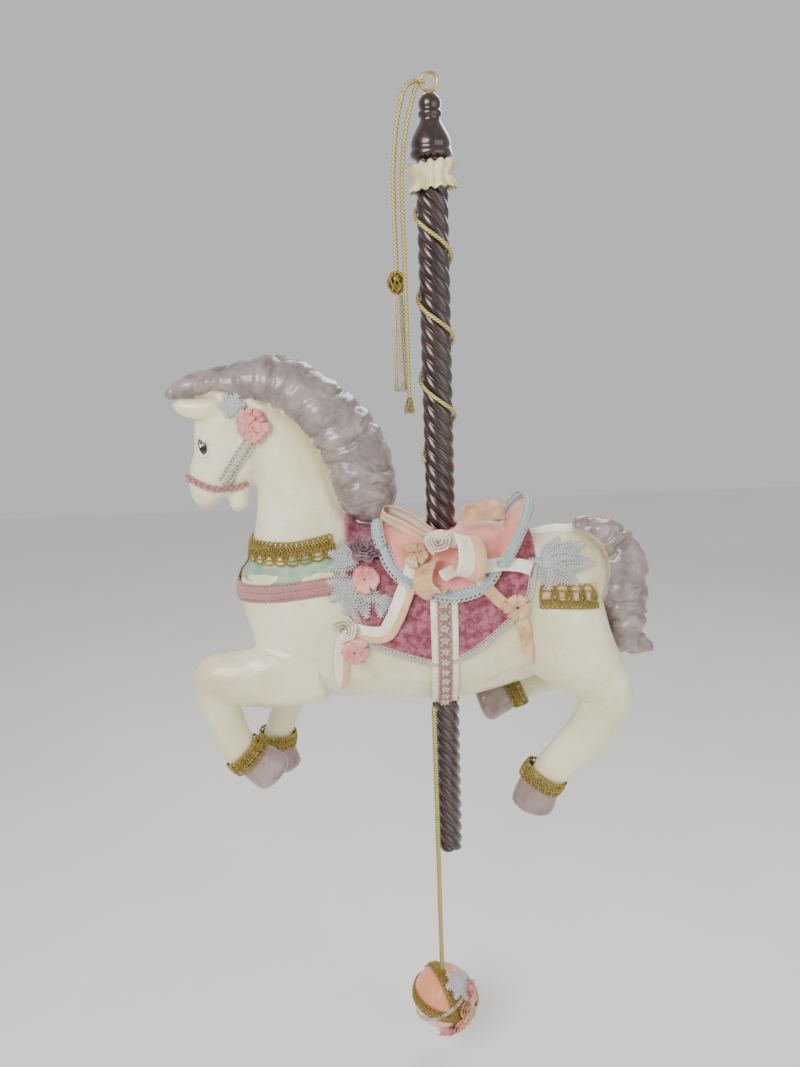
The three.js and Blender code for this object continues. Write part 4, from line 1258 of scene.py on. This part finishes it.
rump_leaves, shoulder_leaves = Work(), Work()
fan(rump_leaves, 104, 374, [(62, 36), (30, 54), (-2, 60), (-38, 46), (-80, 30), (165, 16)], 1.6)
rump_leaves.make("rump_lace", LACE_YARN, "white_lace", ["rump_lace"])
fan(shoulder_leaves, -90, 386, [(128, 30), (160, 36), (196, 34)], 3.4)
fan(shoulder_leaves, -94, 366, [(178, 30), (215, 34), (252, 40), (285, 40), (318, 36)], 3.6)
fan(shoulder_leaves, -66, 352, [(262, 24), (300, 22)], 3.8)
shoulder_leaves.make("shoulder_lace", LACE_YARN, "white_lace", ["shoulder_lace"])


# ---- cloth flowers ----
def spread(out):
    side = Vector((0, 0, 1)).cross(out)
    side = side.normalized() if side.length > 0.1 else Vector((1, 0, 0))
    return side, out.cross(side)


def gathered(work, centre, out, radius, depth, turns=3.0, frill=0.0, folds=6):
    """Ribbon rolled into a rose from the middle outwards, its free edge turned back and frilled."""
    side, up = spread(out)
    count = int(turns * 34)
    rows, uvs = [], []
    phase = random.uniform(0, TAU)
    for k in range(count + 1):
        share = k / count
        a = TAU * turns * share + phase
        wave = math.sin(folds * a + 2 * math.sin(a)) * frill * (0.3 + 0.7 * share)
        row = []
        for j in range(6):
            t = j / 5
            r = radius * (0.1 + 0.55 * share) + radius * (0.36 * t ** 2 * (0.35 + share)) + wave * t
            h = depth * t * (1 - 0.55 * share) + 0.12 * wave * t
            row.append(centre + (side * math.cos(a) + up * math.sin(a)) * (r * MM) + out * (h * MM))
        rows.append(row)
        uvs.append([(share * turns * radius * 3, j / 5) for j in range(6)])
    work.grid(rows, uvs)


def looped(work, centre, out, radius, depth, petals, width=0.62, start=0.0):
    """Petals that are loops of ribbon, out from the middle and back over themselves."""
    side, up = spread(out)
    for k in range(petals):
        a = TAU * (k + start) / petals + random.uniform(-0.12, 0.12)
        ray = side * math.cos(a) + up * math.sin(a)
        reach = radius * random.uniform(0.9, 1.08)
        trace = catmull([(0.1, 0.1), (0.6, 0.05), (1.0, 0.3), (0.94, 0.72), (0.55, 0.9), (0.12, 0.72)], 4)
        path = [centre + ray * (p[0] * reach * MM) + out * (p[1] * depth * MM) for p in trace]
        work.strip(path, [out.cross(ray)] * len(path),
                   lambda t: radius * width * (0.45 + 0.75 * math.sin(math.pi * t)), 0.6, 5)


def flower(name, finish, slot, nodes, builders):
    work = Work()
    for build, *values in builders:
        build(work, *values)
    bloom = work.make(name, finish, slot, nodes, 0.35)
    cloth(bloom, 12, "gathered")


saddle_side = Vector((-0.05, -0.8, 0.6)).normalized()
mauve_at, mauve_out = flank(-84, 394, 5.4)
coral_at, coral_out = flank(-84, 368, 5.6)
rose_at, rose_out = flank(-109, 319, 3.2)
bloom_at, bloom_out = flank(-98, 294, 3.0)
knot_at, knot_out = flank(74, 334, 4.2)
flower("mauve_flower", MAUVE_CLOTH, "mauve_ribbon", ["mauve_flower"], [
    (gathered, mauve_at, mauve_out, 16, 9, 3.6, 2.6, 7)])
flower("coral_flower", PINK_SATIN, "coral_cloth", ["coral_flower"], [
    (looped, coral_at, coral_out, 13.5, 7, 9), (looped, coral_at + coral_out * 0.002, coral_out, 8.5, 6, 7,
                                                0.62, 0.5)])
flower("blanket_rose", CREAM_SATIN, "cream_satin", ["blanket_rose"], [
    (gathered, rose_at, rose_out, 13.5, 12, 3.6, 1.0, 5)])
flower("blanket_flower", PINK_SATIN, "coral_cloth", ["blanket_flower"], [
    (looped, bloom_at, bloom_out, 14, 8, 9), (looped, bloom_at + bloom_out * 0.002, bloom_out, 9, 7, 7,
                                              0.62, 0.5)])
flower("bow_rose", CREAM_SATIN, "cream_satin", ["bow_rose"], [
    (gathered, at(-6, -50, 404), saddle_side, 13, 11, 3.6, 0.9, 5)])
flower("bow_flower", PEACH_SATIN, "peach_satin", ["bow_flower"], [
    (looped, at(-31, -51, 392), saddle_side, 13, 8, 8), (looped, at(-31, -53, 394), saddle_side, 8.5, 7, 6,
                                                         0.62, 0.5)])
flower("ribbon_knot", PEACH_SATIN, "peach_satin", ["ribbon_knot"],
       [(looped, knot_at, knot_out, 13, 7, 6, 0.8)])


# ---- ribbons ----
def loop_of(name, finish, slot, nodes, rows, across, width):
    """Loop of ribbon standing in the bow."""
    work = Work()
    path = evened(catmull([at(*r) for r in rows], 6), 1.6)
    work.strip(path, [Vector(across)] * len(path), width, 1.2, 8)
    cloth(work.make(name, finish, slot, nodes, 0.45), width, "folded", ["saddle"])


def on_body(name, finish, slot, nodes, rows, width, off, held="laid", taper=None):
    """Ribbon lying over the flank, a little rippled along its length."""
    work = Work()
    route = on_flank(rows, off)
    count = max(6, round(route.length / 1.6))
    stops = [route.length * k / count for k in range(count + 1)]
    rippled = [route.place(s, 0, 0.5 + 0.7 * math.sin(s / 7.5)) for s in stops]
    work.strip(rippled, [route.across(s) for s in stops], taper or width, 0.6, 8)
    cloth(work.make(name, finish, slot, nodes, 0.45), width, held, ["horse"])


loop_of("bow_large_loop", TWO_TONE, "cream_satin", ["bow_large_loop"], [
    (8, -46, 398), (14, -50, 410), (22, -58, 414), (27, -70, 404), (27, -77, 389), (23, -72, 375),
    (12, -64, 371), (4, -57, 381)], (1, 0.25, -0.3), 31)
loop_of("bow_left_loop", TWO_TONE, "peach_satin", ["bow_left_loop"], [
    (-12, -45, 404), (-30, -38, 413), (-48, -30, 421), (-62, -24, 428), (-64, -20, 433), (-56, -18, 434),
    (-36, -26, 427), (-12, -40, 412)], (0.25, -0.75, 0.6), 20)
loop_of("bow_lower_loop", PEACH_SATIN, "peach_satin", ["bow_lower_loop"], [
    (-8, -57, 390), (-18, -66, 386), (-24, -75, 376), (-22, -77, 364), (-12, -73, 356), (-6, -66, 362)],
    (0.9, -0.1, 0.45), 20)
loop_of("bow_back", PEACH_SATIN, "peach_satin", ["bow_back"], [
    (20, -26, 420), (34, -32, 428), (52, -30, 430), (66, -20, 425), (69, -6, 424), (54, 4, 428),
    (36, 0, 426), (22, -10, 424)], (0, 0.35, 0.95), 14)
on_body("left_streamer", TWO_TONE, "cream_satin", ["left_streamer"], [
    (-26, 386, 2), (-36, 368, 1.2), (-47, 345, 0), (-58, 322, -2.6), (-66, 312, -4.4), (-84, 312, -5),
    (-104, 317, -5)], 19, ON_SADDLE)
on_body("right_streamer", PEACH_SATIN, "peach_satin", ["right_streamer"], [
    (26, 376, 3), (36, 362, 1.6), (46, 350, 0), (58, 339, -3), (70, 333, -5)], 13, ON_SADDLE)
on_body("right_fold", CREAM_SATIN, "cream_satin", ["right_fold"], [
    (24, 374, 4), (42, 372, 3), (60, 373, 2), (78, 371, 0), (91, 368, -2)], 15, ON_SADDLE + 1)
on_body("ribbon_tail", PEACH_SATIN, "peach_satin", ["ribbon_tail"], [
    (76, 328, 1.5), (82, 310, 0.6), (86, 290, 0.6), (92, 268, 1)], 13, 2.6, "hung",
        lambda t: 13 * (1 - 0.9 * t ** 5))
on_body("rose_tail", TWO_TONE, "cream_satin", (), [
    (-109, 306, 1), (-113, 284, 1), (-115, 262, 2), (-117, 244, 3)], 17, 2.0, "hung",
        lambda t: 17 * (1 - 0.75 * t ** 4))


# ---- bridle and face ----
white_at, white_out = flank(-211, 552, 0.8, ground=HORSE)
coral_head_at, coral_head_out = flank(-190, 532, 1.6, ground=HORSE)
head_lace = Work()
for heading in range(0, 360, 60):
    a = math.radians(heading)
    leaf(head_lace, white_at, Vector((math.cos(a), 0, math.sin(a))), white_out, 14, 9)
head_lace.make("white_rosette", LACE_YARN, "white_lace", ["white_rosette"])
flower("coral_rosette", PINK_SATIN, "coral_cloth", ["coral_rosette"], [
    (looped, coral_head_at, coral_head_out, 17, 9, 12, 0.5),
    (looped, coral_head_at + coral_head_out * 0.003, coral_head_out, 12, 9, 9, 0.55, 0.5),
    (looped, coral_head_at + coral_head_out * 0.006, coral_head_out, 7, 7, 6, 0.6, 0.2)])
cheek = on_flank([(-196, 515), (-206, 501), (-218, 486), (-230, 471)], 0.8, ground=HORSE)
cheek_yarn, nose_pink = Work(), Work()
cheek.plait(cheek_yarn, 5, 5, 1.1, 1.4)
cheek.loops(cheek_yarn, 5, 4.6, 0.8, 1.5, 1.4)
cheek.loops(cheek_yarn, 5, 4.6, 0.8, -1.5, 1.4, -1)
cheek_yarn.make("cheek_braid", CREAM_YARN, "cream_satin", ["cheek_braid"])
nose = on_flank([(-265, 477), (-257, 473), (-248, 469), (-237, 465.5), (-226, 465), (-216, 466),
                 (-205, 470)], 0.8,
                ground=HORSE)
nose.plait(nose_pink, 3.6, 5, 0.8, 1.0)
for k in range(int(nose.length / 6.6) + 1):
    s = min(k * 6.6, nose.length)
    i = min(int(s / nose.length * (len(nose.spots) - 1)), len(nose.outs) - 1)
    posy(nose_pink, nose.place(s, 0, 2.2), nose.outs[i], 4.0, 0.9)
nose_pink.make("noseband", PINK_YARN, "pink_braid", ["noseband"])

for side, label in ((-1, "left"), (1, "right")):
    eye_at, eye_out = flank(-245, 509, 0.0, side, HORSE)
    dress(bead(eye_at - eye_out * 0.0012, (6.0, 3.4, 7.6), 28, 18), f"{label}_eye", BLACK, "papier_mache")
    # A small white bead on each eye is a painted highlight.
    dress(bead(eye_at + eye_out * 0.0019 + Vector((-2.0, 0, 2.8)) * MM, (1.4, 0.7, 1.7), 12, 8),
          f"{label}_eye_painted_highlight", HIGHLIGHT_WHITE, "papier_mache")
    rim, lash = Work(), Work()
    circle = [HORSE.find_nearest(eye_at + Vector((7.0 * math.cos(a), 0,
                                                  8.8 * math.sin(a))) * MM)[0] + eye_out * 0.0003
              for a in (TAU * k / 28 for k in range(28))]
    rim.tube(circle, 1.35, 8, loop=True)
    rim.make(f"{label}_eyelid", PASTE, "papier_mache")
    lash.tube([circle[k] + eye_out * 0.001 for k in range(15)],
              lambda t: 0.35 + 0.55 * math.sin(math.pi * t), 6)
    for k in range(2, 13, 2):
        a = TAU * k / 28
        tip = Vector((math.cos(a), 0.35 * side, math.sin(a) + 0.25)).normalized()
        lash.tube([circle[k] + eye_out * 0.001 + tip * (3.6 * t * MM) for t in (0, 0.5, 1)],
                  lambda t: 0.38 - 0.25 * t)
    lash.make(f"{label}_eyelashes", BLACK, "papier_mache")


# ---- gold lace round the hooves ----
HOOF_LACE = {
    "left_fore": ((-228, -44.6, 163), -42, 22.5, 19.5),
    "right_fore": ((-207.5, 43, 134), 6, 21.5, 18),
    "left_hind": ((107, -42, 117), 32, 25, 20.5),
    "right_hind": ((87, 42, 187), 68, 21, 18)}
for leg, (centre, tilt, long, wide) in HOOF_LACE.items():
    turn = Matrix.Rotation(math.radians(tilt), 3, "Y")
    rays = [turn @ Vector((math.cos(TAU * k / 60) * long, math.sin(TAU * k / 60) * wide,
                           0)) for k in range(60)]
    cuff = Route([at(*centre) + ray * MM for ray in rays], [ray.normalized() for ray in rays], loop=True)
    work = Work()
    cuff.plait(work, 6, 8, 1.0, 1.2)
    for hand in (-1, 1):
        cuff.loops(work, 7, cuff.length / round(cuff.length / 8.5), 0.85, 2 * hand, 1.4, hand)
        cuff.loops(work, 3, cuff.length / round(cuff.length / 4.2), 0.7, 6 * hand, 1.2, hand)
    work.make(f"{leg}_hoof_lace", GOLD_YARN, "gold_braid", [f"{leg}_hoof_lace"])


# ---- hanging ball ----
# Satin patches on the ball, peach above and pink below, creased where they are gathered, with
# painted shade darkening the creases.
def ball_pattern(tree):
    height = node(tree, "SeparateXYZ", {"Vector": node(tree, "TexCoord", {}, "Object")}, "Z")
    crease = grain(tree, 9)
    rise = node(tree, "Math", {0: crease, 1: 0.02, 2: height}, operation="MULTIPLY_ADD")
    middle = FOOT + BALL_CENTRE[2] * MM
    upper = node(tree, "MapRange", {"Value": rise, "From Min": middle + 0.008, "From Max": middle + 0.016})
    colour = node(tree, "Mix", {"Factor": upper, "A": "#f0b3ac", "B": "#e79468"}, data_type="RGBA")
    # painted shade darkening the gathered creases
    gather_shade = node(tree, "MapRange", {"Value": crease, "From Min": 0.5, "From Max": 0.75, "To Max": 0.45})
    colour = node(tree, "Mix", {"Factor": gather_shade, "A": colour, "B": "#b8655c"}, data_type="RGBA")
    return colour, node(tree, "MapRange", {"Value": crease, "To Min": 0.3, "To Max": 0.5}), crease, 0.002


BALL_CLOTH = material("gathered_peach_and_pink_satin", ball_pattern, Sheen_Weight=0.5)


def on_ball(longitude, latitude, off=0.0):
    a, b = math.radians(longitude), math.radians(latitude)
    out = Vector((math.sin(a) * math.cos(b), -math.cos(a) * math.cos(b), math.sin(b)))
    return at(*BALL_CENTRE) + out * ((BALL_RADIUS + off) * MM), out


ball = bead(at(*BALL_CENTRE), (BALL_RADIUS - 0.6,) * 3, 64, 40)
for vertex in ball.data.vertices:
    out = (vertex.co - at(*BALL_CENTRE)).normalized()
    vertex.co += out * (0.9 * noise.noise(out * 5) + 0.35 * noise.noise(out * 17)) * MM
dress(ball, "pendant_ball", BALL_CLOTH, "coral_cloth", ["pendant_ball"])


def hoop(axis):
    """Great circle of the ball round an axis."""
    side, up = spread(axis.normalized())
    outs = [side * math.cos(TAU * k / 90) + up * math.sin(TAU * k / 90) for k in range(90)]
    return Route([at(*BALL_CENTRE) + o * (BALL_RADIUS * MM) for o in outs], outs, loop=True)


ball_gold, ball_white = Work(), Work()
for axis in (Vector((0.25, 0.1, 1)), Vector((1, 0.45, 0.1))):
    band = hoop(axis)
    band.plait(ball_gold, 5, band.length / round(band.length / 8), 1.0, 0.8)
    for hand in (-1, 1):
        band.loops(ball_gold, 4.5, band.length / round(band.length / 6), 0.8, 2 * hand, 0.8, hand)
band = hoop(Vector((-0.55, 0.2, 1)))
band.plait(ball_white, 3.6, band.length / round(band.length / 6), 0.95, 0.6)
ball_gold.make("ball_gold_braid", GOLD_YARN, "gold_braid")
ball_white.make("ball_white_gimp", CREAM_YARN, "white_lace")
BLOOMS = {"peach": (PEACH_SATIN, [(46, 8), (40, -46), (84, -10)]),
          "cream": (CREAM_SATIN, [(62, -22), (22, -62)]),
          "pink": (PINK_SATIN, [(34, -20), (66, 26), (72, -50), (8, -40)])}
for colour, (finish, spots) in BLOOMS.items():
    flower(f"ball_{colour}_rosettes", finish, "peach_satin", ["pendant_flowers"] if colour == "peach" else (),
           [(gathered, *on_ball(*spot, 0.4), 14, 8, 3.2, 2.0, 7) for spot in spots])
ball_fan = Work()
fan_at, fan_out = on_ball(52, 52, 1.0)
fan_side, fan_up = spread(fan_out)
for k in range(7):
    a = TAU * k / 7
    leaf(ball_fan, fan_at, fan_side * math.cos(a) + fan_up * math.sin(a), fan_out, 20, 9, 1.2 + 0.3 * (k % 2))
ball_fan.make("pendant_lace", LACE_YARN, "white_lace", ["pendant_lace"])


# ---- tassel, frayed end and tie ----
knot_core = bead(at(*TASSEL, 665), (6.6, 6.6, 10.4), 20, 14)
dress(knot_core, "tassel_knot_core", OLD_GOLD, "gold_braid")
weave, turns_head = Work(), []
for k in range(600):
    t = TAU * k / 600
    lift = 1.15 * math.sin(7 * t)
    reach = 7.9 * math.cos(lift) + 0.5 + 0.5 * math.cos(14 * t)
    turns_head.append(at(TASSEL[0] + reach * math.cos(5 * t), TASSEL[1] + reach * math.sin(5 * t),
                         665 + 10.6 * math.sin(lift)))
weave.tube(turns_head, 1.15, 6, loop=True)
knot_weave = weave.make("tassel_knot", GOLD_YARN, "gold_braid", ["tassel_knot"])


def fringe(work, centre, top, bottom, narrow, wide, count, thread):
    """Threads hanging from a knot, spread evenly over its section."""
    for k in range(count):
        a = k * 2.39996
        share = math.sqrt((k + 0.5) / count)
        drift = random.uniform(0, TAU)
        fall = bottom + random.uniform(0, 3)
        path = []
        for j in range(9):
            t = j / 8
            r = share * (narrow + (wide - narrow) * t ** 0.6) + 0.35 * math.sin(5 * t + drift)
            path.append(at(centre[0] + r * math.cos(a + 0.25 * t), centre[1] + r * math.sin(a + 0.25 * t),
                           top + (fall - top) * t))
        work.tube(path, thread, 4)


strands, ends, tie = Work(), Work(), Work()
fringe(strands, TASSEL, 653, 558, 4.6, 7.6, 150, 0.62)
tassel = strands.make("tassel", SILK, "tassel_silk", ["tassel"])
fringe(ends, FRAYED, 552, 535, 1.8, 6.0, 34, 0.5)
frayed = ends.make("frayed_end", GOLD_CORD, "gold_cord", ["frayed_end"])
tie.rope([at(-RING_RADIUS + 3.9 * math.cos(TAU * k / 32), 3.9 * math.sin(TAU * k / 32),
             RING_HEIGHT + 1.2 * math.sin(2 * TAU * k / 32)) for k in range(32)], 1.7, 8, loop=True)
tie.make("cord_tie", GOLD_CORD, "gold_cord", ["cord_tie"])

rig.cord(pendant_cord, exit=pendant_path[0], length=length_of(pendant_path), diameter=2 * CORD_RADIUS * MM,
        far_end="fitting", stiffness="limp", lay="hanging", path=pendant_path, with_pieces=[ball])
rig.cord(tassel_cord, exit=tassel_path[0], length=length_of(tassel_path), diameter=2 * TASSEL_CORD * MM,
        far_end="knot", stiffness="limp", lay="hanging", path=tassel_path,
        with_pieces=[knot_core, knot_weave, tassel])
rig.cord(frayed_cord, exit=frayed_path[0], length=length_of(frayed_path), diameter=2 * TASSEL_CORD * MM,
        far_end="bare", stiffness="limp", lay="hanging", path=frayed_path, with_pieces=[frayed])

# ---- floor, backdrop and light ----
deselect()
bpy.ops.mesh.primitive_plane_add(size=6, location=at(0, 0, -300))
floor = bpy.context.object
floor.name = "floor"
floor.data.materials.append(material("pale_paper_floor", rubbed("#f4f2ee", "#eeece6", 0.8, 0.95, 400)))
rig.stage(floor)

world = bpy.data.worlds.new("studio")
world.use_nodes = True
world.node_tree.nodes["Background"].inputs["Color"].default_value = linear("#ffffff")
world.node_tree.nodes["Background"].inputs["Strength"].default_value = 0.62
bpy.context.scene.world = world
for name, place, aim, size, power in (
        ("key_light", (-700, -1100, 1100), (0, 0, 350), 0.8, 22),
        ("fill_light", (900, -900, 500), (0, 0, 350), 1.2, 7),
        ("back_light", (300, 900, 1200), (0, 0, 400), 0.8, 10)):
    lamp = bpy.data.lights.new(name, "AREA")
    lamp.size, lamp.energy = size, power
    holder = bpy.data.objects.new(name, lamp)
    bpy.context.scene.collection.objects.link(holder)
    holder.location = at(*place)
    holder.rotation_euler = (at(*aim) - at(*place)).to_track_quat("-Z", "Y").to_euler()

low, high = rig.bounds()
with open("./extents.json", "w") as sizes:
    json.dump({"cad": [list(cad_low), list(cad_high)], "visual": [list(low), list(high)]}, sizes)
